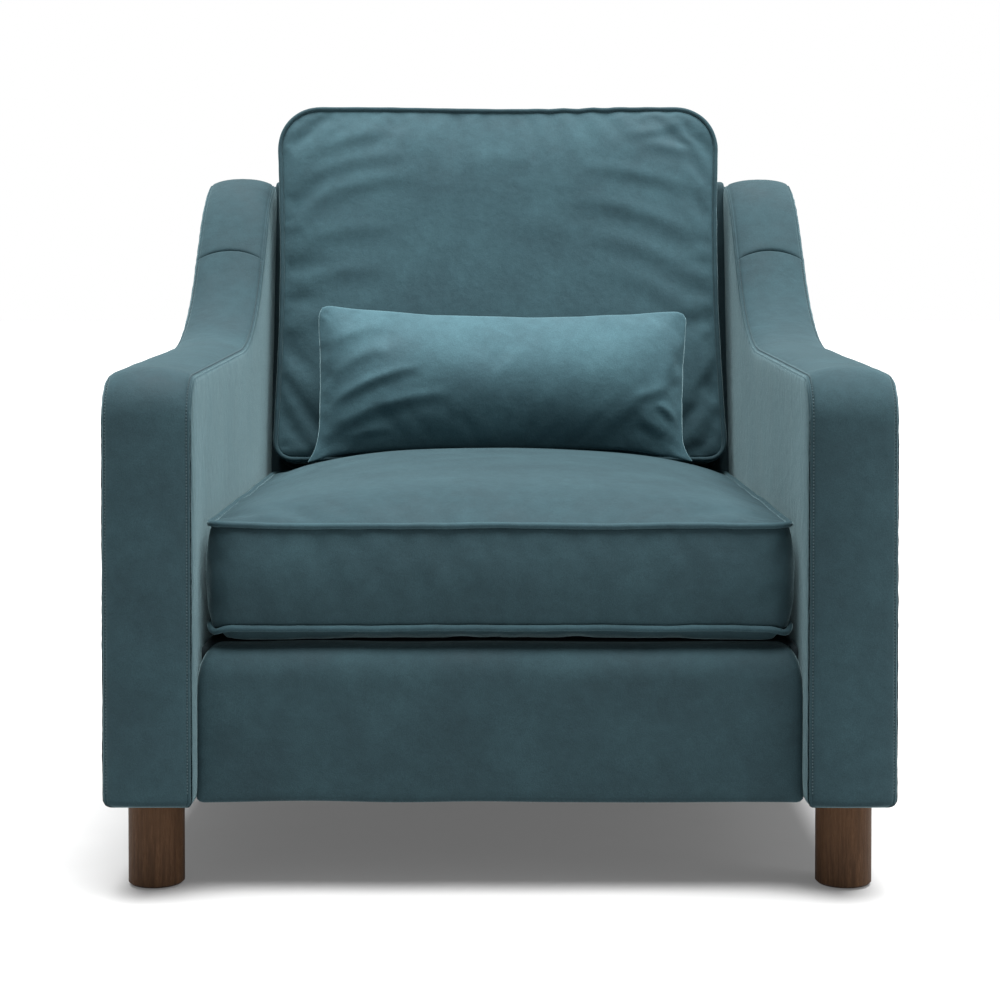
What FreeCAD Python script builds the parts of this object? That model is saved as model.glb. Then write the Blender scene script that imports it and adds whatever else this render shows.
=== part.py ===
import FreeCAD, Part
import math
import os
import re
import Sketcher

# Upholstered armchair with swooping arms, loose seat cushion, loose back cushion and a lumbar pillow.
# Millimetres, +Z up. Origin: on the floor, under the middle of the chair. The front faces -Y,
# and "left" is -X. Every name below is a cell of the sheet, and the expressions use those names.

SIZES = {
    # arms: each is a slab between arm_inner and arm_outer on either side of the middle
    "arm_inner": 343, "arm_outer": 445, "arm_foot": 106, "arm_front": -468, "arm_swell": 10,
    "cover_skin": 2, "side_padding": 14, "band_padding": 15, "rail_depth": 40,
    # side outline of an arm, at its seam: nose, level top, swoop, shoulder and raked rear edge
    "nose_radius": 45, "nose_top": 582, "level_end": 18, "level_slope": 2.2, "swoop_radius": 330,
    "swoop_slope": 47, "swoop_length": 96, "shoulder_radius": 250, "shoulder_slope": 20, "heel_radius": 30,
    "outer_rake": 6, "rear_face": 468, "back_top": 838, "cross_seam": 274,
    # legs and what fastens them
    "leg_radius": 32, "leg_top": 112, "leg_across": 394, "front_leg": -389, "rear_leg": 345,
    "leg_lift": 2, "foot_chamfer": 2.5, "glide_radius": 18, "glide_thickness": 4,
    "bolt_radius": 4, "bolt_start": 64, "bolt_end": 142, "nut_barrel": 5, "nut_flange": 10,
    "nut_sheet": 1.5, "nut_depth": 12, "bore_reach": 30, "hole_gap": 0.5, "hole_reach": 10,
    "nail_radius": 1.5, "nail_length": 16, "fit_gap": 0.1,
    # timber base
    "underside": 113.5, "block_top": 140, "block_length": 100, "bolt_to_end": 40, "rail_thickness": 25,
    "rail_top": 248, "front_rail_face": -400, "rear_rail_face": 322, "side_rail_thickness": 22,
    "corner_block": 58, "corner_drop": 20, "post_thickness": 22, "front_post_thickness": 30,
    "post_front_top": 525, "post_rear_top": 790,
    "top_rail_low": 722, "top_rail_high": 802,
    # springs, webbing and deck
    "spring_wire": 1.8, "spring_width": 46, "spring_pitch": 32, "spring_count": 5,
    "spring_spacing": 128, "clip_width": 22, "clip_length": 18, "clip_height": 5.6,
    "clip_sheet": 1, "clip_setback": 5, "spring_end": 10, "spring_overrun": 14,
    "strap_sheet": 2, "strap_width": 62, "strap_spacing": 98, "strap_low": 306, "strap_count": 5,
    "strap_overlap": 50,
    "deck_low": 256, "deck_high": 280, "deck_half": 341, "apron_face": -440, "apron_foot": 100,
    "apron_padding": 38, "apron_half": 342.5, "deck_gap": 1,
    # back: everything is set back from the plane of the back cushion's crown
    "back_rake": 12, "back_foot": 440, "back_front": 232, "back_thickness": 105,
    "back_gap": 2.5, "back_padding": 18, "back_pad_foot": 262, "back_roll_top": 845,
    "outer_padding": 12,
    # seat cushion
    "seat_half": 330, "seat_front": -429.5, "seat_rear": 300, "seat_foot": 282,
    "seat_edge": 420, "seat_crown": 55, "seat_corner": 25, "piping": 3.5, "loop_setback": 1,
    "seat_lower_loop": 299.5,
    # back cushion, in its own frame: width, height up the rake, thickness to the front
    "back_half": 327, "back_height": 527, "back_low_corner": 25, "back_high_corner": 62,
    "back_crown": 19,
    # lumbar pillow, also in a raked frame
    "pillow_half": 270, "pillow_height": 206, "pillow_depth": 110, "pillow_edge": 8,
    "pillow_foot": 459, "pillow_corner": 12, "pillow_skin": 1.5, "pillow_gap": 1.5,
    # zips
    "zip_half": 262, "zip_overrun": 10, "zip_width": 14, "zip_sheet": 2, "zip_gap": 0.5,
    "slider_length": 10, "slider_width": 8, "slider_height": 3,
    "tab_length": 24, "tab_width": 6, "tab_sheet": 1.4, "tab_overlap": 3,
    "seat_zip_level": 356, "back_zip_setback": 20,
    # room for the solids that only trim others
    "margin": 20, "beyond": 600, "base_gap": 2, "base_floor": 50,
}

FLAT = FreeCAD.Vector(0, 0, 1)
ALONG_X = FreeCAD.Vector(1, 0, 0)
ALONG_Y = FreeCAD.Vector(0, 1, 0)
SIDE_VIEW = FreeCAD.Rotation(FreeCAD.Vector(1, 1, 1), 120)

doc = FreeCAD.newDocument("armchair")
sheet = doc.addObject("Spreadsheet::Sheet", "sizes")
for row, (alias, value) in enumerate(SIZES.items(), start=1):
    sheet.set(f"A{row}", alias.replace("_", " "))
    sheet.set(f"B{row}", str(value))
    sheet.setAlias(f"B{row}", alias)
doc.recompute()

probe = doc.addObject("App::FeaturePython", "probe")
probe.addProperty("App::PropertyFloat", "Number")
nodes = []


# ---------------------------------------------------------------- expressions and placing

def on_sheet(text):
    """Point every sheet name in an expression at its cell."""
    def cell(word):
        return "sizes." + word[0] if word[0] in SIZES else word[0]
    return re.sub(r"[a-z_]{3,}", cell, str(text))


def number(text):
    """The value of an expression, used to start a sketch close to its solution."""
    probe.setExpression("Number", on_sheet(text))
    probe.recompute()
    return probe.Number


def bind(thing, **expressions):
    for prop, text in expressions.items():
        thing.setExpression(prop, on_sheet(text))
    return thing


def move(thing, x=0, y=0, z=0, axis=ALONG_X, turn=None):
    """Bind a placement. turn is an expression in degrees about axis."""
    if turn is not None:
        thing.Placement = FreeCAD.Placement(thing.Placement.Base, FreeCAD.Rotation(axis, 10))
        thing.setExpression("Placement.Rotation.Angle", on_sheet(turn))
    for letter, text in (("x", x), ("y", y), ("z", z)):
        thing.setExpression("Placement.Base." + letter, on_sheet(text))
    return thing


def add(kind, name):
    return doc.addObject(kind, name)


def node(thing, name):
    """Register a finished piece under the name that its file gets."""
    thing.Label = name
    nodes.append(thing)
    return thing


def box(name, length, width, height, x, y, z):
    solid = bind(add("Part::Box", name), Length=length, Width=width, Height=height)
    return move(solid, x, y, z)


def rod(name, radius, height, x=0, y=0, z=0):
    solid = bind(add("Part::Cylinder", name), Radius=radius, Height=height)
    return move(solid, x, y, z)


def cut(name, base, tool):
    result = add("Part::Cut", name)
    result.Base = base
    result.Tool = tool
    return result


def common(name, *shapes):
    result = add("Part::MultiCommon", name)
    result.Shapes = list(shapes)
    return result


def fuse(name, *shapes):
    result = add("Part::MultiFuse", name)
    result.Shapes = list(shapes)
    return result


def group(name, pieces):
    result = add("Part::Compound", name)
    result.Links = list(pieces)
    return result


def extrude(name, outline, x, length, symmetric=False):
    """Sweep a side-view outline along X, from x or evenly about the middle."""
    solid = add("Part::Extrusion", name)
    solid.Base = outline
    solid.DirMode = "Custom"
    solid.Dir = ALONG_X
    solid.Solid = True
    solid.Symmetric = symmetric
    bind(solid, LengthFwd=length)
    return move(solid, x)


# ---------------------------------------------------------------- sketches

def dimension(sketch, kind, *spots, text):
    index = sketch.addConstraint(Sketcher.Constraint(kind, *spots, number(text)))
    sketch.setExpression(f"Constraints[{index}]", on_sheet(text))


def polygon(sketch, corners):
    """A closed outline of straight edges, whose every corner is two expressions."""
    points = [FreeCAD.Vector(number(across), number(up), 0) for across, up in corners]
    count = len(points)
    for index in range(count):
        sketch.addGeometry(Part.LineSegment(points[index], points[(index + 1) % count]))
    for index in range(count):
        sketch.addConstraint(Sketcher.Constraint("Coincident", index, 2, (index + 1) % count, 1))
    for index, (across, up) in enumerate(corners):
        dimension(sketch, "DistanceX", -1, 1, index, 1, text=across)
        dimension(sketch, "DistanceY", -1, 1, index, 1, text=up)
    return sketch


def side_outline(name, corners):
    """A polygon drawn in the side view, as (distance to the rear, height)."""
    sketch = add("Sketcher::SketchObject", name)
    sketch.Placement = FreeCAD.Placement(FreeCAD.Vector(), SIDE_VIEW)
    return polygon(sketch, corners)


def arc(centre, radius, start, end):
    circle = Part.Circle(centre, FLAT, radius)
    return Part.ArcOfCircle(circle, math.radians(start), math.radians(end))


def rounded_outline(sketch, half, low, high, low_corner, high_corner):
    """A rectangle from -half to half and low to high, with two corner radii."""
    side, foot, top = number(half), number(low), number(high)
    small, large = number(low_corner), number(high_corner)
    vector = FreeCAD.Vector
    sketch.addGeometry([
        Part.LineSegment(vector(small - side, foot, 0), vector(side - small, foot, 0)),
        Part.LineSegment(vector(side, foot + small, 0), vector(side, top - large, 0)),
        Part.LineSegment(vector(side - large, top, 0), vector(large - side, top, 0)),
        Part.LineSegment(vector(-side, top - large, 0), vector(-side, foot + small, 0)),
        arc(vector(side - small, foot + small, 0), small, -90, 0),
        arc(vector(side - large, top - large, 0), large, 0, 90),
        arc(vector(large - side, top - large, 0), large, 90, 180),
        arc(vector(small - side, foot + small, 0), small, 180, 270)])
    for first, end, second, start in ((0, 2, 4, 1), (4, 2, 1, 1), (1, 2, 5, 1), (5, 2, 2, 1),
                                      (2, 2, 6, 1), (6, 2, 3, 1), (3, 2, 7, 1), (7, 2, 0, 1)):
        sketch.addConstraint(Sketcher.Constraint("Tangent", first, end, second, start))
    for level in (0, 2):
        sketch.addConstraint(Sketcher.Constraint("Horizontal", level))
    for upright in (1, 3):
        sketch.addConstraint(Sketcher.Constraint("Vertical", upright))
    sketch.addConstraint(Sketcher.Constraint("Equal", 4, 7))
    sketch.addConstraint(Sketcher.Constraint("Equal", 5, 6))
    dimension(sketch, "Radius", 4, text=low_corner)
    dimension(sketch, "Radius", 5, text=high_corner)
    dimension(sketch, "DistanceX", -1, 1, 1, 1, text=half)
    dimension(sketch, "DistanceX", -1, 1, 3, 1, text=f"-({half})")
    dimension(sketch, "DistanceY", -1, 1, 0, 1, text=low)
    dimension(sketch, "DistanceY", -1, 1, 2, 1, text=high)
    return sketch


def body_sketch(body, name, plane):
    """A sketch on one of a body's own origin planes."""
    sketch = body.newObject("Sketcher::SketchObject", name)
    support = [part for part in body.Origin.OriginFeatures if part.Role == plane][0]
    sketch.AttachmentSupport = [(support, "")]
    sketch.MapMode = "FlatFace"
    return sketch


# ---------------------------------------------------------------- planes of the back

def inside(height, setback):
    """Distance to the rear of the raked plane that lies setback behind the cushion's crown."""
    return f"back_front + (({height}) - back_foot) * tan(back_rake) + ({setback}) / cos(back_rake)"


def outside(height, setback=0):
    """Distance to the rear of the outside back, setback further out."""
    return f"rear_face - (back_top - ({height})) * tan(outer_rake) + ({setback}) / cos(outer_rake)"


LINING = "back_thickness + back_gap"
LINING_BACK = LINING + " + cover_skin"
STRAP = LINING_BACK + " + back_padding"
POST = STRAP + " + strap_sheet"
POST_BACK = POST + " + post_thickness"


# ---------------------------------------------------------------- arms

def arm_outline():
    """Side view of an arm at its seam, closed round the foot and the raked rear edge."""
    sketch = add("Sketcher::SketchObject", "arm_seam_line")
    sketch.Placement = FreeCAD.Placement(FreeCAD.Vector(), SIDE_VIEW)
    vector = FreeCAD.Vector
    front, foot, top = number("arm_front"), number("arm_foot"), number("nose_top")
    nose, swoop = number("nose_radius"), number("swoop_radius")
    shoulder, heel = number("shoulder_radius"), number("heel_radius")
    level, steep, rake = number("level_slope"), number("swoop_slope"), number("outer_rake")
    easy = number("shoulder_slope")

    def heading(angle):
        return vector(math.cos(math.radians(angle)), math.sin(math.radians(angle)), 0)

    toe = vector(front, foot, 0)
    nose_centre = vector(front + nose, top - nose, 0)
    chin = nose_centre - vector(nose, 0, 0)
    brow = nose_centre + heading(90 + level) * nose
    reach = number("level_end") - brow.x
    level_end = brow + heading(level) * (reach / math.cos(math.radians(level)))
    swoop_centre = level_end + heading(90 + level) * swoop
    swoop_end = swoop_centre + heading(steep - 90) * swoop
    shoulder_start = swoop_end + heading(steep) * number("swoop_length")
    shoulder_centre = shoulder_start + heading(steep - 90) * shoulder
    shoulder_end = shoulder_centre + heading(90 + easy) * shoulder
    heel_centre = shoulder_end + heading(easy - 90) * heel
    heel_end = heel_centre + heading(-rake) * heel
    rear_toe = vector(number(outside("arm_foot")), foot, 0)
    sketch.addGeometry([
        Part.LineSegment(toe, chin),
        arc(nose_centre, nose, 90 + level, 180),
        Part.LineSegment(brow, level_end),
        arc(swoop_centre, swoop, 270 + level, 270 + steep),
        Part.LineSegment(swoop_end, shoulder_start),
        arc(shoulder_centre, shoulder, 90 + easy, 90 + steep),
        arc(heel_centre, heel, -rake, 90 + easy),
        Part.LineSegment(heel_end, rear_toe),
        Part.LineSegment(rear_toe, toe)])
    for spots in ((0, 2, 1, 2), (1, 1, 2, 1), (2, 2, 3, 1), (3, 2, 4, 1),
                  (4, 2, 5, 2), (5, 1, 6, 2), (6, 1, 7, 1)):
        sketch.addConstraint(Sketcher.Constraint("Tangent", *spots))
    sketch.addConstraint(Sketcher.Constraint("Coincident", 7, 2, 8, 1))
    sketch.addConstraint(Sketcher.Constraint("Coincident", 8, 2, 0, 1))
    sketch.addConstraint(Sketcher.Constraint("Vertical", 0))
    sketch.addConstraint(Sketcher.Constraint("Horizontal", 8))
    dimension(sketch, "DistanceX", -1, 1, 0, 1, text="arm_front")
    dimension(sketch, "DistanceY", -1, 1, 0, 1, text="arm_foot")
    for index, radius in ((1, "nose_radius"), (3, "swoop_radius"), (5, "shoulder_radius"),
                          (6, "heel_radius")):
        dimension(sketch, "Radius", index, text=radius)
    dimension(sketch, "DistanceY", -1, 1, 2, 1, text="nose_top")
    dimension(sketch, "DistanceX", -1, 1, 2, 2, text="level_end")
    for index, slope in ((2, "level_slope"), (4, "swoop_slope"), (7, "-90 - outer_rake")):
        at = sketch.addConstraint(Sketcher.Constraint("Angle", index, math.radians(number(slope))))
        sketch.setExpression(f"Constraints[{at}]", on_sheet(slope))
    dimension(sketch, "Distance", 4, text="swoop_length")
    dimension(sketch, "DistanceX", -1, 1, 7, 2, text=outside("arm_foot"))
    return sketch


def grown(name, outline, distance):
    """The outline moved outwards by a distance, or inwards by a negative one."""
    result = add("Part::Offset2D", name)
    result.Source = outline
    return bind(result, Value=distance)


def arms():
    """Both arms: timber, padding and the four covers of each."""
    seam = arm_outline()
    padded_line = grown("padded_line", seam, "arm_swell")
    skin_line = grown("skin_line", seam, "arm_swell + cover_skin")
    timber_line = grown("timber_line", seam, "-band_padding")
    rail_line = grown("rail_line", seam, "-band_padding - rail_depth")
    everything = "2 * (arm_outer + margin)"
    wide_start = "-arm_outer - margin"
    front_of_all = "arm_front - 2 * margin"
    above_all = "back_top + 3 * margin"
    behind_all = "rear_face + 3 * margin"
    trim = extrude("arm_trim", side_outline("trim_outline", [
        (front_of_all, "arm_foot"), (outside("arm_foot"), "arm_foot"),
        (outside(above_all), above_all), (front_of_all, above_all)]),
        0, everything, symmetric=True)
    base_room = box("base_room", everything, "2 * beyond", "rail_top + base_gap - base_floor",
                    wide_start, "front_rail_face - base_gap", "base_floor")
    back_room = extrude("back_room", side_outline("back_room_outline", [
        (inside("arm_foot", LINING), "arm_foot"), (behind_all, "arm_foot"),
        (behind_all, above_all), (inside(above_all, LINING), above_all)]),
        0, everything, symmetric=True)
    seat_room = fuse("seat_room", base_room, back_room)
    post_room = extrude("post_room", side_outline("post_room_outline", [
        (inside("arm_foot", STRAP), "arm_foot"), (behind_all, "arm_foot"),
        (behind_all, "post_rear_top"), (inside("post_rear_top", STRAP), "post_rear_top")]),
        0, everything, symmetric=True)
    above_post = box("above_post", everything, "2 * beyond", "beyond",
                     wide_start, "-beyond", "post_front_top")
    timber = "arm_inner + cover_skin + side_padding"
    timber_width = "arm_outer - arm_inner - 2 * cover_skin - 2 * side_padding"
    for side, sign in (("left", -1), ("right", 1)):
        def layer(name, line, inner, thickness):
            start = inner if sign > 0 else f"-({inner}) - ({thickness})"
            return extrude(f"{side}_{name}", line, start, thickness)

        def piece(name, *shapes):
            return node(common(f"{side}_{name}_solid", *shapes), f"{side}_{name}")

        skin_slab = layer("skin_in_all", padded_line, "arm_inner", "cover_skin")
        inner_skin = common(f"{side}_skin_in", skin_slab, trim)
        node(cut(f"{side}_inner_cover_solid", inner_skin, seat_room), f"{side}_arm_inner_cover")
        foam_slab = layer("foam_in_all", padded_line, "arm_inner + cover_skin", "side_padding")
        inner_foam = common(f"{side}_foam_in", foam_slab, trim)
        node(cut(f"{side}_inner_foam_solid", inner_foam, seat_room), f"{side}_arm_inner_foam")
        piece("arm_outer_padding", trim, layer("foam_out_all", padded_line,
                                               "arm_outer - cover_skin - side_padding", "side_padding"))
        piece("arm_outer_cover", trim,
              layer("skin_out_all", padded_line, "arm_outer - cover_skin", "cover_skin"))

        ring = cut(f"{side}_ring", layer("ring_out", padded_line, timber, timber_width),
                   layer("ring_in", timber_line, timber, timber_width))
        piece("arm_front_foam", ring, trim, box(
            f"{side}_front_zone", everything, "arm_swell + band_padding", "post_front_top - arm_foot",
            wide_start, "arm_front - arm_swell", "arm_foot"))
        top_ring = common(f"{side}_top_ring", ring, trim, above_post)
        node(cut(f"{side}_top_foam_solid", top_ring, post_room), f"{side}_arm_top_foam")
        rail = cut(f"{side}_rail_ring", layer("rail_out", timber_line, timber, timber_width),
                   layer("rail_in", rail_line, timber, timber_width))
        rail_top = common(f"{side}_rail_top", rail, above_post)
        node(cut(f"{side}_arm_rail_solid", rail_top, post_room), f"{side}_arm_rail")

        band = cut(f"{side}_band", layer("band_out", skin_line, "arm_inner", "arm_outer - arm_inner"),
                   layer("band_in", padded_line, "arm_inner", "arm_outer - arm_inner"))
        ahead = box(f"{side}_ahead", everything, "cross_seam + beyond", "2 * beyond",
                    wide_start, "-beyond", "0")
        piece("arm_band_cover", band, trim, ahead)
        behind = cut(f"{side}_behind", common(f"{side}_band_trimmed", band, trim), ahead)
        node(behind, f"{side}_arm_upper_cover")

        inner = timber if sign > 0 else f"-({timber}) - ({timber_width})"
        post_height = "post_front_top - block_top"
        node(box(f"{side}_front_post_solid", timber_width, "front_post_thickness", post_height,
                 inner, "arm_front + band_padding", "block_top"), f"{side}_front_post")
        post = side_outline(f"{side}_post_outline", [
            (inside("block_top", POST), "block_top"), (inside("block_top", POST_BACK), "block_top"),
            (inside("post_rear_top", POST_BACK), "post_rear_top"),
            (inside("post_rear_top", POST), "post_rear_top")])
        node(extrude(f"{side}_rear_post_solid", post, inner, timber_width), f"{side}_rear_post")
        rail_start = timber if sign > 0 else f"-({timber}) - side_rail_thickness"
        rail_from = "arm_front + band_padding + front_post_thickness"
        node(box(f"{side}_side_rail_solid", "side_rail_thickness",
                 f"{inside('block_top', POST)} - ({rail_from})", "rail_top - block_top",
                 rail_start, rail_from, "block_top"), f"{side}_side_rail")


# ---------------------------------------------------------------- seat base and back

def base():
    """Rails, blocks and padding of the seat base."""
    timber = "arm_inner + cover_skin + side_padding"
    node(box("front_rail_solid", f"2 * ({timber})", "rail_thickness", "rail_top - underside",
             f"-({timber})", "front_rail_face", "underside"), "front_rail")
    node(box("rear_rail_solid", f"2 * ({timber})", "rail_thickness", "rail_top - block_top",
             f"-({timber})", "rear_rail_face", "block_top"), "rear_rail")
    corners = []
    for index, (sign_x, face, turn) in enumerate((
            (-1, "front_rail_face + rail_thickness", 0), (1, "front_rail_face + rail_thickness", 90),
            (1, "rear_rail_face", 180), (-1, "rear_rail_face", 270))):
        block = add("Part::Wedge", f"corner_{index}")
        bind(block, Xmax="corner_block", Ymax="corner_block", Zmax="rail_top - block_top - corner_drop",
             Z2max="rail_top - block_top - corner_drop", X2max="0")
        block.Xmin = block.Ymin = block.Zmin = block.X2min = block.Z2min = 0
        corners.append(move(block, f"{sign_x} * ({timber})", face, "block_top", FLAT, str(turn)))
    node(group("corner_blocks_group", corners), "corner_blocks")
    padding_height = "deck_high - 2 * cover_skin - apron_foot"
    node(box("apron_padding_solid", "2 * apron_half", "apron_padding", padding_height,
             "-apron_half", "apron_face + cover_skin", "apron_foot + cover_skin"), "front_rail_foam")
    apron_skin = side_outline("apron_skin_outline", [
        ("apron_face", "apron_foot"), ("apron_face + cover_skin + apron_padding", "apron_foot"),
        ("apron_face + cover_skin + apron_padding", "apron_foot + cover_skin"),
        ("apron_face + cover_skin", "apron_foot + cover_skin"),
        ("apron_face + cover_skin", "deck_high - cover_skin"),
        ("apron_face + cover_skin + apron_padding", "deck_high - cover_skin"),
        ("apron_face + cover_skin + apron_padding", "deck_high"), ("apron_face", "deck_high")])
    node(extrude("apron_skin", apron_skin, 0, "2 * apron_half", symmetric=True), "front_rail_cover")
    deck_rear = inside("back_pad_foot", LINING) + " - deck_gap"
    deck_start = "apron_face + cover_skin + apron_padding"
    deck_length = f"{deck_rear} - ({deck_start})"
    node(box("deck_pad_solid", "2 * deck_half", deck_length, "deck_high - cover_skin - deck_low",
             "-deck_half", deck_start, "deck_low"), "deck_pad")
    node(box("deck_cloth_solid", "2 * deck_half", deck_length, "cover_skin",
             "-deck_half", deck_start, "deck_high - cover_skin"), "deck_cloth")
    sheet_front = "front_rail_face + deck_gap"
    sheet_low = box("dust_sheet", "2 * (arm_outer - cover_skin - side_padding)",
                    f"{outside('arm_foot')} - ({sheet_front})", "underside - leg_top",
                    "-arm_outer + cover_skin + side_padding", sheet_front, "leg_top")
    tab_from = "arm_front + band_padding"
    tabs = [box(f"dust_tab_{index}", f"arm_outer - cover_skin - side_padding - ({timber})",
                f"{sheet_front} - ({tab_from})", "underside - leg_top", start, tab_from, "leg_top")
            for index, start in enumerate((timber, "-arm_outer + cover_skin + side_padding"))]
    holes = group("dust_holes", [
        rod(f"dust_hole_{index}", "bolt_radius + hole_gap", "2 * hole_reach", across, along,
            "leg_top - hole_reach")
        for index, (across, along) in enumerate(leg_places())])
    node(cut("dust_cover_solid", fuse("dust_whole", sheet_low, *tabs), holes), "dust_cover")


def back():
    """Top rail, webbing and the upholstery of the inside and outside back."""
    timber = "arm_inner + cover_skin + side_padding"
    rail = side_outline("top_rail_outline", [
        (inside("top_rail_low", POST), "top_rail_low"),
        (inside("top_rail_low", POST_BACK), "top_rail_low"),
        (inside("top_rail_high", POST_BACK), "top_rail_high"),
        (inside("top_rail_high", POST), "top_rail_high")])
    node(extrude("top_rail", rail, 0, f"2 * ({timber})", symmetric=True), "back_top_rail")
    straps = []
    for index in range(round(number("strap_count"))):
        low = f"strap_low + {index} * strap_spacing"
        high = f"{low} + strap_width"
        outline = side_outline(f"strap_outline_{index}", [
            (inside(low, STRAP), low), (inside(low, POST), low), (inside(high, POST), high),
            (inside(high, STRAP), high)])
        width = f"2 * ({timber} + strap_overlap)"
        straps.append(extrude(f"strap_{index}", outline, 0, width, symmetric=True))
    node(group("strap_group", straps), "back_webbing")
    roll = "back_roll_top - cover_skin"
    padding = side_outline("back_padding_outline", [
        (inside("back_pad_foot", LINING_BACK), "back_pad_foot"), (inside(roll, LINING_BACK), roll),
        (outside(roll), roll), (outside("top_rail_high"), "top_rail_high"),
        (inside("top_rail_high", STRAP), "top_rail_high"),
        (inside("back_pad_foot", STRAP), "back_pad_foot")])
    node(extrude("back_padding_solid", padding, 0, "2 * apron_half", symmetric=True), "inside_back_foam")
    skin = side_outline("back_skin_outline", [
        (inside("back_pad_foot", LINING), "back_pad_foot"),
        (inside("back_roll_top", LINING), "back_roll_top"),
        (outside("back_roll_top", "outer_padding"), "back_roll_top"),
        (outside(roll, "outer_padding"), roll), (inside(roll, LINING_BACK), roll),
        (inside("back_pad_foot", LINING_BACK), "back_pad_foot")])
    node(extrude("back_skin_solid", skin, 0, "2 * apron_half", symmetric=True), "inside_back_cover")
    rear = side_outline("outside_back_outline", [
        (outside("arm_foot"), "arm_foot"), (outside("arm_foot", "outer_padding"), "arm_foot"),
        (outside(roll, "outer_padding"), roll), (outside(roll), roll)])
    node(extrude("outside_back_solid", rear, 0, "2 * arm_outer", symmetric=True), "outside_back_cover")


def springs():
    """Zigzag seat springs, made of straight runs and half-round bends, and their clips."""
    wire = number("spring_wire")
    bend = number("spring_pitch / 4")
    reach = number("spring_width / 2 - spring_pitch / 4")
    start = number("front_rail_face + spring_end")
    finish = number("rear_rail_face + spring_overrun")
    level = number("rail_top + clip_sheet + spring_wire")
    bends = int((finish - start) / (2 * bend))
    spacing = (finish - start) / bends
    edges = []
    for index in range(bends + 1):
        along = start + index * spacing
        way = 1 if index % 2 == 0 else -1
        ends = [FreeCAD.Vector(-way * reach, along, level), FreeCAD.Vector(way * reach, along, level)]
        edges.append(Part.LineSegment(*ends).toShape())
        if index < bends:
            outer = FreeCAD.Vector(way * (reach + spacing / 2), along + spacing / 2, level)
            after = FreeCAD.Vector(way * reach, along + spacing, level)
            edges.append(Part.Arc(ends[1], outer, after).toShape())
    path = Part.Wire(edges)
    first = FreeCAD.Vector(-reach, start, level)
    section = Part.Wire(Part.Circle(first, ALONG_X, wire).toShape())
    one = path.makePipeShell([section], True, False)
    count = round(number("spring_count"))
    places = [(index - (count - 1) / 2) * number("spring_spacing") for index in range(count)]
    copies = [one.translated(FreeCAD.Vector(place, 0, 0)) for place in places]
    feature = add("Part::Feature", "spring_group")
    feature.Shape = Part.makeCompound(copies)
    node(feature, "seat_springs")
    clips = []
    front_clip = "front_rail_face + clip_setback"
    rear_clip = "rear_rail_face + spring_overrun + clip_setback - clip_length"
    for index, place in enumerate(places):
        for end, shell_from, room_from in (("front", front_clip, f"{front_clip} + clip_sheet"),
                                           ("rear", rear_clip, f"{rear_clip} - clip_sheet")):
            shell = box(f"clip_{end}_{index}", "clip_width", "clip_length", "clip_height",
                        f"{place} - clip_width / 2", shell_from, "rail_top")
            room = box(f"clip_room_{end}_{index}", "clip_width + 2 * clip_sheet", "clip_length",
                       "clip_height - 2 * clip_sheet", f"{place} - clip_width / 2 - clip_sheet",
                       room_from, "rail_top + clip_sheet")
            clips.append(cut(f"clip_bent_{end}_{index}", shell, room))
    node(group("clip_group", clips), "spring_clips")


# ---------------------------------------------------------------- legs

def leg_places():
    return [(f"{sign} * leg_across", along) for along in ("front_leg", "rear_leg") for sign in (-1, 1)]


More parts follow.
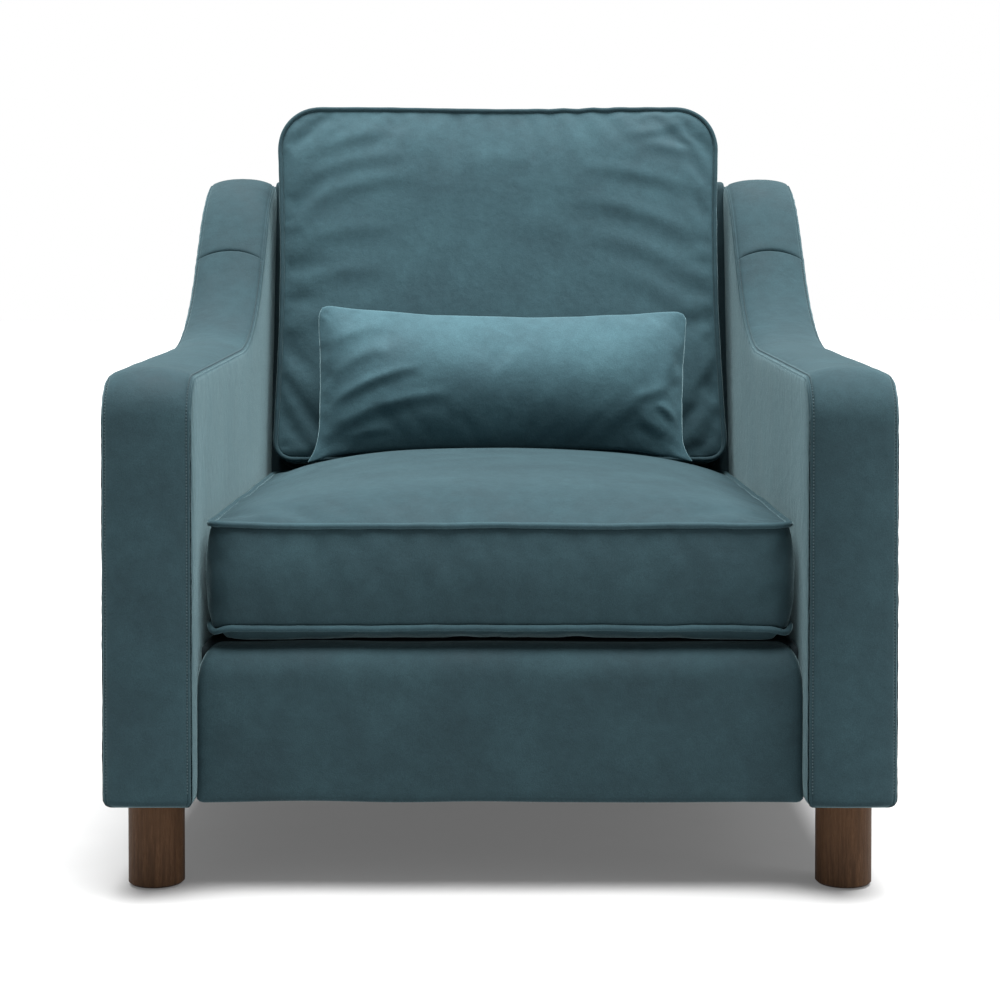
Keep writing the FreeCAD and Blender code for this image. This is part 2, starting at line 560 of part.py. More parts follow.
def legs():
    """Four turned legs, each on a hanger bolt that screws up into a tee nut in its block."""
    names = ("front_left", "front_right", "rear_left", "rear_right")
    for name, (across, along) in zip(names, leg_places()):
        body = add("PartDesign::Body", f"{name}_leg_body")
        profile = polygon(body_sketch(body, f"{name}_leg_profile", "XZ_Plane"), [
            ("glide_radius + fit_gap", "leg_lift"), ("leg_radius - foot_chamfer", "leg_lift"),
            ("leg_radius", "leg_lift + foot_chamfer"), ("leg_radius", "leg_top"),
            ("bolt_radius", "leg_top"), ("bolt_radius", "bolt_start"), ("nail_radius", "bolt_start"),
            ("nail_radius", "glide_thickness"), ("glide_radius + fit_gap", "glide_thickness")])
        turned = body.newObject("PartDesign::Revolution", f"{name}_leg_turned")
        turned.Profile = profile
        turned.ReferenceAxis = (profile, ["V_Axis"])
        turned.Angle = 360
        body.Tip = turned
        node(move(body, across, along), f"{name}_leg")
    bolts, nuts, glides, blocks = [], [], [], []
    timber = "arm_inner + cover_skin + side_padding"
    width = "arm_outer - arm_inner - 2 * cover_skin - 2 * side_padding"
    for index, (across, along) in enumerate(leg_places()):
        bolts.append(rod(f"bolt_{index}", "bolt_radius", "bolt_end - bolt_start",
                         across, along, "bolt_start"))
        flange = rod(f"flange_{index}", "nut_flange", "nut_sheet", across, along, "block_top")
        barrel = rod(f"barrel_{index}", "nut_barrel", "nut_depth", across, along, "block_top - nut_depth")
        thread = rod(f"thread_{index}", "bolt_radius + fit_gap", "2 * bore_reach", across, along,
                     "block_top - bore_reach")
        nuts.append(cut(f"nut_{index}", fuse(f"nut_body_{index}", flange, barrel), thread))
        disc = rod(f"disc_{index}", "glide_radius", "glide_thickness", across, along, "0")
        nail = rod(f"nail_{index}", "nail_radius - fit_gap", "nail_length", across, along, "0")
        glides.append(fuse(f"glide_{index}", disc, nail))
        inner = timber if index % 2 else f"-({timber}) - ({width})"
        first = "arm_front + band_padding" if index < 2 else "rear_leg - block_length + bolt_to_end"
        wood = box(f"block_{index}", width, "block_length", "block_top - underside",
                   inner, first, "underside")
        bolt_bore = rod(f"bore_bolt_{index}", "bolt_radius + fit_gap", "2 * bore_reach", across, along,
                        "underside - hole_reach")
        nut_bore = rod(f"bore_nut_{index}", "nut_barrel", "2 * nut_depth", across, along,
                       "block_top - nut_depth")
        bore = fuse(f"bore_{index}", bolt_bore, nut_bore)
        blocks.append(cut(f"leg_block_{index}", wood, bore))
    node(group("bolt_group", bolts), "hanger_bolts")
    node(group("nut_group", nuts), "tee_nuts")
    node(group("glide_group", glides), "leg_glides")
    node(group("block_group", blocks), "leg_blocks")


# ---------------------------------------------------------------- cushions

def crown_cutter(name, half, edge, crown, middle="0", along_x=False):
    """A long drum whose top passes through the edges at height edge and rises by crown between them."""
    radius = f"((({half})^2 + ({crown})^2) / (2 * ({crown})))"
    drum = bind(add("Part::Cylinder", name), Radius=radius, Height="4 * beyond")
    level = f"({edge}) + ({crown}) - {radius}"
    if along_x:
        return move(drum, "-2 * beyond", middle, level, ALONG_Y, "90")
    return move(drum, "0", "2 * beyond", level, ALONG_X, "90")


def crowned(name, half, low, high, low_corner, high_corner, floor, edge, crown):
    """A rounded slab, flat underneath, whose top rises from its edges to a crown."""
    body = add("PartDesign::Body", f"{name}_body")
    outline = body_sketch(body, f"{name}_outline", "XY_Plane")
    rounded_outline(outline, half, low, high, low_corner, high_corner)
    pad = body.newObject("PartDesign::Pad", f"{name}_pad")
    pad.Profile = outline
    bind(pad, Length=f"({edge}) + ({crown}) - ({floor})")
    body.Tip = pad
    move(body, 0, 0, floor)
    across = crown_cutter(f"{name}_crown_across", half, edge, crown)
    length = f"((({high}) - ({low})) / 2)"
    middle = f"((({high}) + ({low})) / 2)"
    along = crown_cutter(f"{name}_crown_along", length, edge, crown, middle, along_x=True)
    return common(f"{name}_crowned", body, across, along)


def loop(name, half, low, high, low_corner, high_corner, level):
    """A piping cord that runs round a rounded outline at one level."""
    path = add("Sketcher::SketchObject", f"{name}_path")
    rounded_outline(path, half, low, high, low_corner, high_corner)
    move(path, 0, 0, level)
    bead = add("Part::Circle", f"{name}_bead")
    bead.Placement = FreeCAD.Placement(FreeCAD.Vector(), FreeCAD.Rotation(FreeCAD.Vector(0, 1, 0), 90))
    bind(bead, Radius="piping")
    move(bead, 0, low, level)
    swept = add("Part::Sweep", f"{name}_swept")
    swept.Sections = [bead]
    swept.Spine = (path, [])
    swept.Solid = True
    swept.Frenet = True
    return swept


def slider(name):
    """A zip slider with its pull tab: the tape lies in the XY plane below it."""
    block = box(f"{name}_block", "slider_length", "slider_width", "slider_height",
                "-slider_length / 2", "-slider_width / 2", "zip_gap")
    tab_start = "-slider_length / 2 - tab_length + tab_overlap"
    tab = box(f"{name}_tab", "tab_length", "tab_width", "tab_sheet", tab_start, "-tab_width / 2",
              "zip_gap + slider_height")
    return fuse(f"{name}_slider", block, tab)


def seat_cushion():
    """Foam block, boxed cover, two piping cords and the zip along its rear."""
    inset = "piping"
    skin = "(piping + cover_skin)"
    outer = crowned("seat_case", f"seat_half - {inset}", f"seat_front + {inset}", f"seat_rear - {inset}",
                    f"seat_corner - {inset}", f"seat_corner - {inset}",
                    "seat_foot", "seat_edge", "seat_crown")
    foam = crowned("seat_block", f"seat_half - {skin}", f"seat_front + {skin}", f"seat_rear - {skin}",
                   f"seat_corner - {skin}", f"seat_corner - {skin}", "seat_foot + cover_skin",
                   "seat_edge - cover_skin", "seat_crown")
    node(foam, "seat_cushion_foam")
    node(cut("seat_case_shell", outer, foam), "seat_cushion_cover")
    levels = (("upper", "seat_edge - piping - loop_setback"), ("lower", "seat_lower_loop"))
    loops = [loop(f"seat_piping_{name}", "seat_half", "seat_front", "seat_rear",
                  "seat_corner", "seat_corner", level) for name, level in levels]
    node(group("seat_piping_group", loops), "seat_cushion_piping")
    node(box("seat_zip_solid", "2 * (zip_half + zip_overrun)", "zip_sheet", "zip_width",
             "-zip_half - zip_overrun", f"seat_rear - {inset}", "seat_zip_level - zip_width / 2"),
         "seat_cushion_zip")
    tape_face = f"seat_rear - {inset} + zip_sheet"
    node(move(slider("seat_zip"), "zip_half", tape_face, "seat_zip_level", ALONG_X, "-90"), "seat_zip_pull")


def raked(thing, foot_rear, foot_level):
    """Stand a piece drawn flat (height along Y, front upwards) against the raked back."""
    return move(thing, 0, foot_rear, foot_level, ALONG_X, "90 - back_rake")


def back_cushion():
    """Loose back cushion, drawn lying on its rear face and then stood on the rake."""
    skin = "(piping + cover_skin)"
    edge = "back_thickness - back_crown"
    outer = crowned("back_case", "back_half - piping", "piping", "back_height - piping",
                    "back_low_corner - piping", "back_high_corner - piping", "0", edge, "back_crown")
    filling = crowned("back_block", f"back_half - {skin}", skin, f"back_height - {skin}",
                      f"back_low_corner - {skin}", f"back_high_corner - {skin}", "cover_skin",
                      f"{edge} - cover_skin", "back_crown")
    loops = group("back_piping_loops", [
        loop(f"back_piping_{name}", "back_half", "0", "back_height",
             "back_low_corner", "back_high_corner", level)
        for name, level in (("front", f"{edge} - piping - loop_setback"),
                            ("rear", "piping + loop_setback"))])
    tape = box("back_zip_tape", "2 * (zip_half + zip_overrun)", "zip_sheet", "zip_width",
               "-zip_half - zip_overrun", "piping - zip_sheet", "back_zip_setback - zip_width / 2")
    foot_rear = "back_front + back_thickness * cos(back_rake)"
    foot_level = "back_foot + piping - back_thickness * sin(back_rake)"
    node(raked(cut("back_case_shell", outer, filling), foot_rear, foot_level), "back_cushion_cover")
    node(raked(common("back_filling_copy", filling, outer), foot_rear, foot_level), "back_cushion_filling")
    node(raked(loops, foot_rear, foot_level), "back_cushion_piping")
    node(raked(group("back_zip_strip", [tape]), foot_rear, foot_level), "back_cushion_zip")
    pull = slider("back_zip")
    move(pull, "zip_half", "piping - zip_sheet", "back_zip_setback", ALONG_X, "90")
    node(raked(group("back_zip_set", [pull]), foot_rear, foot_level), "back_zip_pull")


def lumbar_pillow():
    """Knife-edged pillow: two shallow crowns back to back, stood against the back cushion."""
    shells = []
    for name, skin in (("case", "0"), ("filling", "pillow_skin")):
        half = f"pillow_half - {skin}"
        height = f"pillow_height - {skin}"
        crown = "(pillow_depth - pillow_edge) / 2"
        edge = f"pillow_edge / 2 - {skin}"
        corner = f"pillow_corner - {skin}"
        front = crowned(f"pillow_front_{name}", half, skin, height, corner, corner, "0", edge, crown)
        rear = crowned(f"pillow_rear_{name}", half, skin, height, corner, corner, "0", edge, crown)
        flipped = group(f"pillow_flip_{name}", [rear])
        move(flipped, 0, 0, 0, ALONG_Y, "180")
        shells.append(fuse(f"pillow_{name}", front, flipped))
    case, filling = shells
    lean = "(pillow_depth / 2 + pillow_gap)"
    foot = f"back_front + (pillow_foot - back_foot) * tan(back_rake) - {lean} / cos(back_rake)"
    node(raked(cut("pillow_shell", case, filling), foot, "pillow_foot"), "lumbar_pillow_cover")
    node(raked(common("pillow_core", filling, case), foot, "pillow_foot"), "lumbar_pillow_filling")


# ---------------------------------------------------------------- build, check and write

for make in (arms, base, back, springs, legs, seat_cushion, back_cushion, lumbar_pillow):
    make()
doc.removeObject("probe")
doc.recompute()

faults = [thing.Name for thing in doc.Objects if {"Invalid", "Error"} & set(thing.State)]
for piece in nodes:
    if piece.Shape.isNull() or not piece.Shape.isValid() or not piece.Shape.Solids:
        faults.append(piece.Label)
if faults:
    raise RuntimeError("these did not build: " + ", ".join(faults))

os.makedirs("parts", exist_ok=True)
for piece in nodes:
    piece.Shape.exportStep(f"parts/{piece.Label}.step")
    room = piece.Shape.BoundBox
    print(f"{piece.Label:24s} {len(piece.Shape.Solids)} solid(s) {piece.Shape.Volume / 1000:9.1f} cm3"
          f"  x {room.XMin:7.1f} {room.XMax:7.1f}  y {room.YMin:7.1f} {room.YMax:7.1f}"
          f"  z {room.ZMin:6.1f} {room.ZMax:6.1f}")
print(len(nodes), "nodes")
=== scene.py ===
import math

import bmesh
import bpy
import numpy as np
from mathutils import Matrix, Vector


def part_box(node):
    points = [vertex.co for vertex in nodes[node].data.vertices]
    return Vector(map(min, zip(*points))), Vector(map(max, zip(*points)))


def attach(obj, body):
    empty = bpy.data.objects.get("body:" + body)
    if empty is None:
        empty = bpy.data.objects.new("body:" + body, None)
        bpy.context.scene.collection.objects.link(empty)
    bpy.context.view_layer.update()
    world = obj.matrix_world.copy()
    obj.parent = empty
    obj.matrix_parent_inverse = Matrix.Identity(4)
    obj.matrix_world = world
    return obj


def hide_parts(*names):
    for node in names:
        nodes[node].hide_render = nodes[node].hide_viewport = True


# Looks of the upholstered armchair: velvet covers over padding, piped loose cushions, turned legs.
# Metres, in the frame's own axes: the front faces -Y, "left" is -X.

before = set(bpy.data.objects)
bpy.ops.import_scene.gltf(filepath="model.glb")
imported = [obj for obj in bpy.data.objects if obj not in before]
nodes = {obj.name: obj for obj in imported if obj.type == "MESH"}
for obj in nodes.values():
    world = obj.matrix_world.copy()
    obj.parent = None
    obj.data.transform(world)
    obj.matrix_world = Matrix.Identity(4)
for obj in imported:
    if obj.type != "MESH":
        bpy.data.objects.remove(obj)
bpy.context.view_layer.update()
MM = 0.001
SIDES = (("left", -1), ("right", 1))
REST = "chair_frame"


# ---------------------------------------------------------------- points and meshes

def span(start, end, pitch):
    """Evenly spaced values from start to end, about pitch apart."""
    return np.linspace(start, end, max(2, int(round(abs(end - start) / pitch)) + 1))


def edged(start, end, pitch, fine, reach):
    """Values from start to end, pitch apart, closing up to fine within reach of both ends."""
    count = max(3, int(round(reach / fine * 0.5)))
    ramp = reach * np.linspace(0, 1, count + 1) ** 1.6
    middle = span(start + reach, end - reach, pitch)
    return np.concatenate([start + ramp[:-1], middle, end - ramp[-2::-1]])


def ripple(points, size, seed, waves=12):
    """Smooth relief of about -1 to 1 at each point, with features of about the given size."""
    draw = np.random.default_rng(seed)
    aims = draw.normal(size=(waves, 3))
    aims /= np.linalg.norm(aims, axis=1)[:, None]
    rates = 2 * math.pi / size * draw.uniform(0.55, 1.45, waves)
    phases = draw.uniform(0, 2 * math.pi, waves)
    flat = np.asarray(points, float).reshape(-1, 3)
    relief = np.sin(flat @ (aims * rates[:, None]).T + phases).sum(axis=1) / math.sqrt(2 * waves)
    return relief.reshape(np.asarray(points).shape[:-1])


def smooth_step(value, low, high):
    part = np.clip((value - low) / (high - low), 0, 1)
    return part * part * (3 - 2 * part)


def add_piece(name, points, faces):
    mesh = bpy.data.meshes.new(name)
    mesh.from_pydata([tuple(point) for point in np.asarray(points, float)], [], faces)
    mesh.update()
    mesh.shade_smooth()
    piece = bpy.data.objects.new(name, mesh)
    bpy.context.scene.collection.objects.link(piece)
    return piece


def sheet_faces(index, flip=False):
    """Quads of a grid of vertex numbers."""
    a, b, c, d = index[:-1, :-1], index[1:, :-1], index[1:, 1:], index[:-1, 1:]
    quads = np.stack([a, b, c, d], axis=-1).reshape(-1, 4)
    return (quads[:, ::-1] if flip else quads).tolist()


def border(index):
    """Vertex numbers once round the edge of a grid."""
    return np.concatenate([index[:-1, 0], index[-1, :-1], index[:0:-1, -1], index[0, :0:-1]])


def band_faces(first, second):
    """Quads between two closed rings of vertex numbers."""
    after_first, after_second = np.roll(first, -1), np.roll(second, -1)
    return np.stack([first, second, after_second, after_first], axis=-1).tolist()


def slab(front, rear):
    """A closed form between two grids of points of the same shape."""
    across, up = front.shape[:2]
    one = np.arange(across * up).reshape(across, up)
    two = one + across * up
    faces = sheet_faces(one) + sheet_faces(two, flip=True) + band_faces(border(one), border(two))
    return np.concatenate([front.reshape(-1, 3), rear.reshape(-1, 3)]), faces


def tube(rings, closed=False):
    """A form through a row of rings of points, capped at both ends unless it closes on itself."""
    count, around = rings.shape[:2]
    index = np.arange(count * around).reshape(count, around)
    faces = []
    for step in range(count if closed else count - 1):
        faces += band_faces(index[step], index[(step + 1) % count])
    if not closed:
        faces += [index[0].tolist(), index[-1][::-1].tolist()]
    return rings.reshape(-1, 3), faces


def joined(parts):
    """One set of points and faces from several."""
    points, faces = [], []
    for made, quads in parts:
        faces += [[number + len(points) for number in quad] for quad in quads]
        points += [tuple(point) for point in made]
    return points, faces


def mended(piece):
    """Faces turned outwards, so that sheen sees the right side."""
    work = bmesh.new()
    work.from_mesh(piece.data)
    bmesh.ops.recalc_face_normals(work, faces=work.faces)
    work.to_mesh(piece.data)
    work.free()
    piece.data.shade_smooth()
    return piece


def coordinates(mesh):
    flat = np.empty(len(mesh.vertices) * 3, np.float32)
    mesh.vertices.foreach_get("co", flat)
    return flat.reshape(-1, 3).astype(float)


def reshape(piece, points):
    piece.data.vertices.foreach_set("co", np.asarray(points, np.float32).ravel())
    piece.data.update()


def bake_modifiers(piece):
    """The piece's evaluated mesh takes the place of its own."""
    graph = bpy.context.evaluated_depsgraph_get()
    made = bpy.data.meshes.new_from_object(piece.evaluated_get(graph))
    piece.modifiers.clear()
    piece.data = made
    made.shade_smooth()
    return piece


def subdivided(piece, levels=1):
    piece.modifiers.new("Subdivision", "SUBSURF").levels = levels
    piece.modifiers[-1].render_levels = levels
    return bake_modifiers(piece)


def inflate(piece, pinned, pressure, frames, slack, cap):
    """Blow a closed cover up by cloth simulation, its seams held, and limit how far it moves."""
    start = coordinates(piece.data)
    group = piece.vertex_groups.new(name="held")
    group.add([int(number) for number in pinned], 1.0, "REPLACE")
    cloth = piece.modifiers.new("Cloth", "CLOTH")
    settings = cloth.settings
    settings.quality = 6
    settings.mass = 0.25
    settings.tension_stiffness = settings.compression_stiffness = 12
    settings.shear_stiffness = 4
    settings.bending_stiffness = 0.35
    settings.shrink_min = -slack
    settings.use_pressure = True
    settings.uniform_pressure_force = pressure
    settings.effector_weights.gravity = 0
    settings.vertex_group_mass = "held"
    cloth.collision_settings.use_collision = False
    cloth.point_cache.frame_start = 1
    cloth.point_cache.frame_end = frames
    scene = bpy.context.scene
    for number in range(1, frames + 1):
        scene.frame_set(number)
    graph = bpy.context.evaluated_depsgraph_get()
    blown = piece.evaluated_get(graph).to_mesh()
    shift = coordinates(blown) - start
    piece.evaluated_get(graph).to_mesh_clear()
    piece.modifiers.remove(cloth)
    piece.vertex_groups.clear()
    scene.frame_set(1)
    length = np.linalg.norm(shift, axis=1)
    shift *= (cap * np.tanh(length / cap) / np.maximum(length, 1e-9))[:, None]
    reshape(piece, start + shift)
    return piece


def finished(piece, body, material, replaced=()):
    piece.data.materials.clear()
    piece.data.materials.append(material)
    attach(piece, body)
    if replaced:
        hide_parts(*replaced)
    return piece


# ---------------------------------------------------------------- materials

def new_material(name):
    material = bpy.data.materials.new(name)
    material.use_nodes = True
    tree = material.node_tree
    shader = tree.nodes["Principled BSDF"]
    place = tree.nodes.new("ShaderNodeTexCoord")
    return material, tree, shader, place.outputs["Object"]


def feed(tree, made, inputs):
    """Set a shader node's inputs, or link them where a socket is given."""
    for key, value in inputs.items():
        if isinstance(value, bpy.types.NodeSocket):
            tree.links.new(value, made.inputs[key])
        else:
            made.inputs[key].default_value = value


def node(tree, kind, inputs, **settings):
    made = tree.nodes.new(kind)
    for key, value in settings.items():
        setattr(made, key, value)
    feed(tree, made, inputs)
    return made


def noise(tree, place, scale, detail=3.0, rough=0.55):
    inputs = {"Vector": place, "Scale": scale, "Detail": detail, "Roughness": rough}
    return node(tree, "ShaderNodeTexNoise", inputs).outputs["Fac"]


def grey(level):
    return (level, level, level)


def ramp(tree, factor, *stops):
    """Colours between stops of position and colour."""
    made = node(tree, "ShaderNodeValToRGB", {"Fac": factor})
    elements = made.color_ramp.elements
    while len(elements) < len(stops):
        elements.new(0.5)
    for element, (position, colour) in zip(elements, stops):
        element.position = position
        element.color = (*colour, 1)
    return made.outputs["Color"]


def mix(tree, factor, first, second, mode="MIX"):
    """A mix of two colours or colour sockets."""
    made = node(tree, "ShaderNodeMix", {"Factor": factor}, data_type="RGBA", blend_type=mode)
    for socket, value in (("A", first), ("B", second)):
        target = [entry for entry in made.inputs if entry.name == socket and entry.type == "RGBA"][0]
        if isinstance(value, bpy.types.NodeSocket):
            tree.links.new(value, target)
        else:
            target.default_value = (*value, 1)
    return [entry for entry in made.outputs if entry.type == "RGBA"][0]


def bump(tree, shader, *layers):
    """Stack heights, each with its own depth in metres, into the shader's normal."""
    below = None
    for height, depth in layers:
        inputs = {"Height": height, "Strength": 1.0, "Distance": depth}
        if below is not None:
            inputs["Normal"] = below
        below = node(tree, "ShaderNodeBump", inputs).outputs["Normal"]
    tree.links.new(below, shader.inputs["Normal"])


VELVET_TONES = ((0.0150, 0.0326, 0.0396), (0.0182, 0.0392, 0.0470), (0.0226, 0.0474, 0.0560))
VELVET_SHEEN = (0.174, 0.261, 0.281)


def velvet(name, depth=1.0, nap=1.0):
    """Short-pile velvet: a dark teal ground, a pale sheen at a glancing look, and a brushed, patchy nap."""
    material, tree, shader, place = new_material(name)
    # depth lightens or darkens the ground and nap the sheen's tint; the copies below use them to paint light
    # and shade into the cloth
    dark, middle, light = (np.array(tone) * depth for tone in VELVET_TONES)
    patches = noise(tree, place, 11.0, 5.0, 0.6)
    ground = ramp(tree, patches, (0.30, dark), (0.52, middle), (0.74, light))
    pile = noise(tree, place, 900.0, 2.0, 0.7)
    flecks = ramp(tree, pile, (0.35, grey(0.72)), (0.68, grey(1.25)))
    tufted = mix(tree, 0.55, ground, flecks, "MULTIPLY")
    brushed = noise(tree, place, 60.0, 4.0, 0.6)
    strokes = ramp(tree, brushed, (0.38, grey(0.90)), (0.66, grey(1.10)))
    colour = mix(tree, 0.6, tufted, strokes, "MULTIPLY")
    roughness = ramp(tree, patches, (0.3, grey(0.72)), (0.7, grey(0.9)))
    feed(tree, shader, {"Base Color": colour, "Roughness": roughness, "Specular IOR Level": 0.12,
                        "Sheen Weight": 1.0, "Sheen Roughness": 0.34,
                        "Sheen Tint": (*(tone * nap for tone in VELVET_SHEEN), 1)})
    bump(tree, shader, (pile, 0.00022), (brushed, 0.0008))
    return material


def woven(name, light, dark, pitch, depth=0.0002, rough=0.9):
    """Plain weave of warp and weft threads, for linings, deck cloth, tapes and webbing."""
    material, tree, shader, place = new_material(name)
    threads = []
    for direction in ("X", "Z"):
        wave = node(tree, "ShaderNodeTexWave", {"Vector": place, "Scale": 0.314 / pitch, "Distortion": 0.6,
                                               "Detail": 2.0}, wave_type="BANDS", bands_direction=direction)
        threads.append(wave.outputs["Fac"])
    crossing = node(tree, "ShaderNodeMath", {0: threads[0], 1: threads[1]}, operation="MULTIPLY").outputs[0]
    soil = noise(tree, place, 14.0)
    weave = ramp(tree, crossing, (0.05, dark), (0.7, light))
    aged = ramp(tree, soil, (0.3, grey(0.82)), (0.7, grey(1.0)))
    colour = mix(tree, 0.8, weave, aged, "MULTIPLY")
    feed(tree, shader, {"Base Color": colour, "Roughness": rough})
    bump(tree, shader, (crossing, depth))
    return material


GRAIN_STRETCH = 0.06           # the grain's features across it, as a share of those along it


def wood(name, dark, light, axis, scale, gloss, seed, shine=0.4):
    """Long grain along one axis, with pores, figure and worn edges."""
    material, tree, shader, place = new_material(name)
    stretch = [scale, scale, scale]
    stretch["XYZ".index(axis)] = scale * GRAIN_STRETCH
    inputs = {"Vector": place, "Scale": stretch, "Location": (seed, seed * 2, 0)}
    along = node(tree, "ShaderNodeMapping", inputs).outputs["Vector"]
    figure = noise(tree, along, 1.0, 6.0, 0.62)
    pores = noise(tree, along, 6.0, 3.0, 0.7)
    middle = [(low + high) / 2 for low, high in zip(dark, light)]
    ground = ramp(tree, figure, (0.38, dark), (0.5, middle), (0.62, light))
    streaks = ramp(tree, pores, (0.42, (0.22, 0.20, 0.19)), (0.57, grey(1.1)))
    grained = mix(tree, 0.75, ground, streaks, "MULTIPLY")
    edges = node(tree, "ShaderNodeNewGeometry", {}).outputs["Pointiness"]
    worn = ramp(tree, edges, (0.53, grey(0)), (0.62, grey(0.6)))
    rubbed = mix(tree, worn, grained, [min(1, tone * 1.6) for tone in light])
    finish = ramp(tree, pores, (0.3, grey(gloss + 0.2)), (0.6, grey(gloss)))
    feed(tree, shader, {"Base Color": rubbed, "Roughness": finish, "Specular IOR Level": shine})
    bump(tree, shader, (pores, 0.00025), (figure, 0.0003))
    return material


def metal(name, colour, rough, wear):
    """Brushed metal, stained darker in places by the share wear."""
    material, tree, shader, place = new_material(name)
    brushed = noise(tree, place, 420.0, 3.0, 0.6)
    stain = noise(tree, place, 60.0, 4.0, 0.6)
    tone = ramp(tree, stain, (0.35, [part * wear for part in colour]), (0.62, colour))
    finish = ramp(tree, brushed, (0.3, grey(rough)), (0.7, grey(rough + 0.18)))
    feed(tree, shader, {"Base Color": tone, "Roughness": finish, "Metallic": 1.0})
    bump(tree, shader, (brushed, 0.00005))
    return material


def moulded(name, colour, rough=0.45):
    """Moulded plastic with a fine grain and paler scuffs."""
    material, tree, shader, place = new_material(name)
    grain = noise(tree, place, 700.0, 2.0)
    scuffs = noise(tree, place, 55.0, 5.0, 0.7)
    tone = ramp(tree, scuffs, (0.35, colour), (0.75, [min(1, part * 1.7 + 0.02) for part in colour]))
    finish = ramp(tree, scuffs, (0.3, grey(rough)), (0.7, grey(rough + 0.25)))
    feed(tree, shader, {"Base Color": tone, "Roughness": finish})
    bump(tree, shader, (grain, 0.00006))
    return material


VELVET = velvet("velvet")
# Painted shade: the inner arm faces get less sheen, darkening them as if shaded between the arm and the seat
INNER_ARM_SHADED_VELVET = velvet("velvet_inner_arm_painted_shade", 1.0, 0.76)
# Painted shade and painted light: the front rail's ground is darkened and its sheen raised, so its top roll
# shows bright though the seat cushion shades it
RAIL_PAINTED_LIGHT_VELVET = velvet("velvet_front_rail_painted_light", 0.93, 1.2)
# Painted light: the back cushion's ground and sheen are made much lighter, standing in for the light its
# raked face catches from above
BACK_PAINTED_LIGHT_VELVET = velvet("velvet_back_painted_light", 1.80, 1.45)
# Painted light: the pillow's ground and sheen are lighter still, brightening its lower half where it faces
# down into shade
PILLOW_PAINTED_LIGHT_VELVET = velvet("velvet_pillow_painted_light", 2.3, 1.75)
# Painted light: the piping's ground is made lighter, for the lit tops of its cords
PIPING_PAINTED_LIGHT_VELVET = velvet("piping_velvet_painted_light", 1.25)
THREAD = woven("stitch_thread", (0.060, 0.105, 0.120), (0.035, 0.065, 0.075), 0.0006)
DECK = woven("deck_fabric", (0.035, 0.06, 0.07), (0.012, 0.024, 0.03), 0.0011)
LINING = woven("dust_lining", (0.03, 0.03, 0.032), (0.010, 0.010, 0.011), 0.0016)
WEBBING = woven("jute_webbing", (0.42, 0.31, 0.18), (0.20, 0.13, 0.07), 0.0030, 0.0008)
TAPE = woven("zip_tape", (0.035, 0.055, 0.065), (0.012, 0.02, 0.025), 0.0008)
TIMBER = wood("frame_timber", (0.38, 0.24, 0.12), (0.62, 0.45, 0.27), "X", 34.0, 0.55, 3.0)
WALNUT = wood("leg_walnut", (0.010, 0.0048, 0.0022), (0.072, 0.036, 0.017), "Z", 260.0, 0.5, 7.0, 0.12)
SPRING = metal("spring_steel", (0.30, 0.30, 0.32), 0.32, 0.6)
ZINC = metal("zinc_steel", (0.62, 0.64, 0.66), 0.28, 0.75)
ZIP_METAL = metal("zip_metal", (0.42, 0.40, 0.36), 0.26, 0.6)
GLIDE = moulded("glide_plastic", (0.035, 0.03, 0.028))

NODE_MATERIALS = {
    WALNUT: ("front_left_leg", "front_right_leg", "rear_left_leg", "rear_right_leg"),
    GLIDE: ("leg_glides",), LINING: ("dust_cover",), WEBBING: ("back_webbing",),
    SPRING: ("seat_springs",), ZINC: ("spring_clips", "hanger_bolts", "tee_nuts"),
}
TIMBER_NODES = ["front_rail", "rear_rail", "back_top_rail", "corner_blocks", "leg_blocks"]
TIMBER_NODES += [f"{side}_{part}" for side, _ in SIDES
                 for part in ("front_post", "rear_post", "side_rail", "arm_rail")]


def dress_frame():
    """Finishes of the pieces whose CAD shape is already right."""
    for material, names in (*NODE_MATERIALS.items(), (TIMBER, TIMBER_NODES)):
        for name in names:
            held = nodes[name]
            if not held.material_slots:
                held.data.materials.append(material)
            for entry in held.material_slots:
                entry.material = material


# ---------------------------------------------------------------- arms

ARM_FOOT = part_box("left_arm_outer_cover")[0].z
ARM_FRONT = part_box("left_arm_outer_cover")[0].y + 10 * MM
ARM_INNER = -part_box("left_arm_inner_cover")[1].x - 3 * MM
ARM_OUTER = -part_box("left_arm_outer_cover")[0].x - 2 * MM
SEAM_TUCK = 3.0 * MM          # how far the side panels swell past their seams
NOSE_TOP = ARM_FOOT + 476 * MM
NOSE_RADIUS = 45 * MM
LEVEL_SLOPE = 2.2
LEVEL_END = 18 * MM
SWOOP_RADIUS = 330 * MM
SWOOP_SLOPE = 47
SWOOP_RUN = 96 * MM
SHOULDER_RADIUS = 250 * MM
SHOULDER_SLOPE = 20
HEEL_RADIUS = 30 * MM
OUTER_RAKE = 6
CROSS_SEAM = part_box("left_arm_upper_cover")[0].y
BAND_CROWN = 13 * MM
FOOT_RADIUS = 10 * MM
INNER_FOOT_SHARE = 0.4        # the inner side draws in this much as far at the foot as the outer side
PANEL_DEPTH = 8 * MM
PANEL_BACK_SHARE = 0.994      # the hidden back of a side panel is this much smaller than its face
FRONT_EDGE_POINTS = 40
REAR_EDGE_POINTS = 60
SEAM_FINE = np.array([0.4, 0.9, 1.6, 2.5, 3.6, 5.0]) * MM   # rows of points beside the cross seam
SEAM_CLEAR = 6 * MM
SEAM_SWEEP = 11 * MM          # the cross seam lies this much lower at the sides of the band
SWEEP_FADE = 45 * MM
BAND_TICKS = np.array([0, 0.8, 1.6, 2.4, 3.4, 4.4, 5.4, 7, 10, 14, 20, 27, 35]) * MM   # across half a band
BAND_BACK = 5 * MM            # depth of the band's hidden back under its seams
BAND_HALF = (ARM_OUTER - ARM_INNER) / 2 - SEAM_TUCK
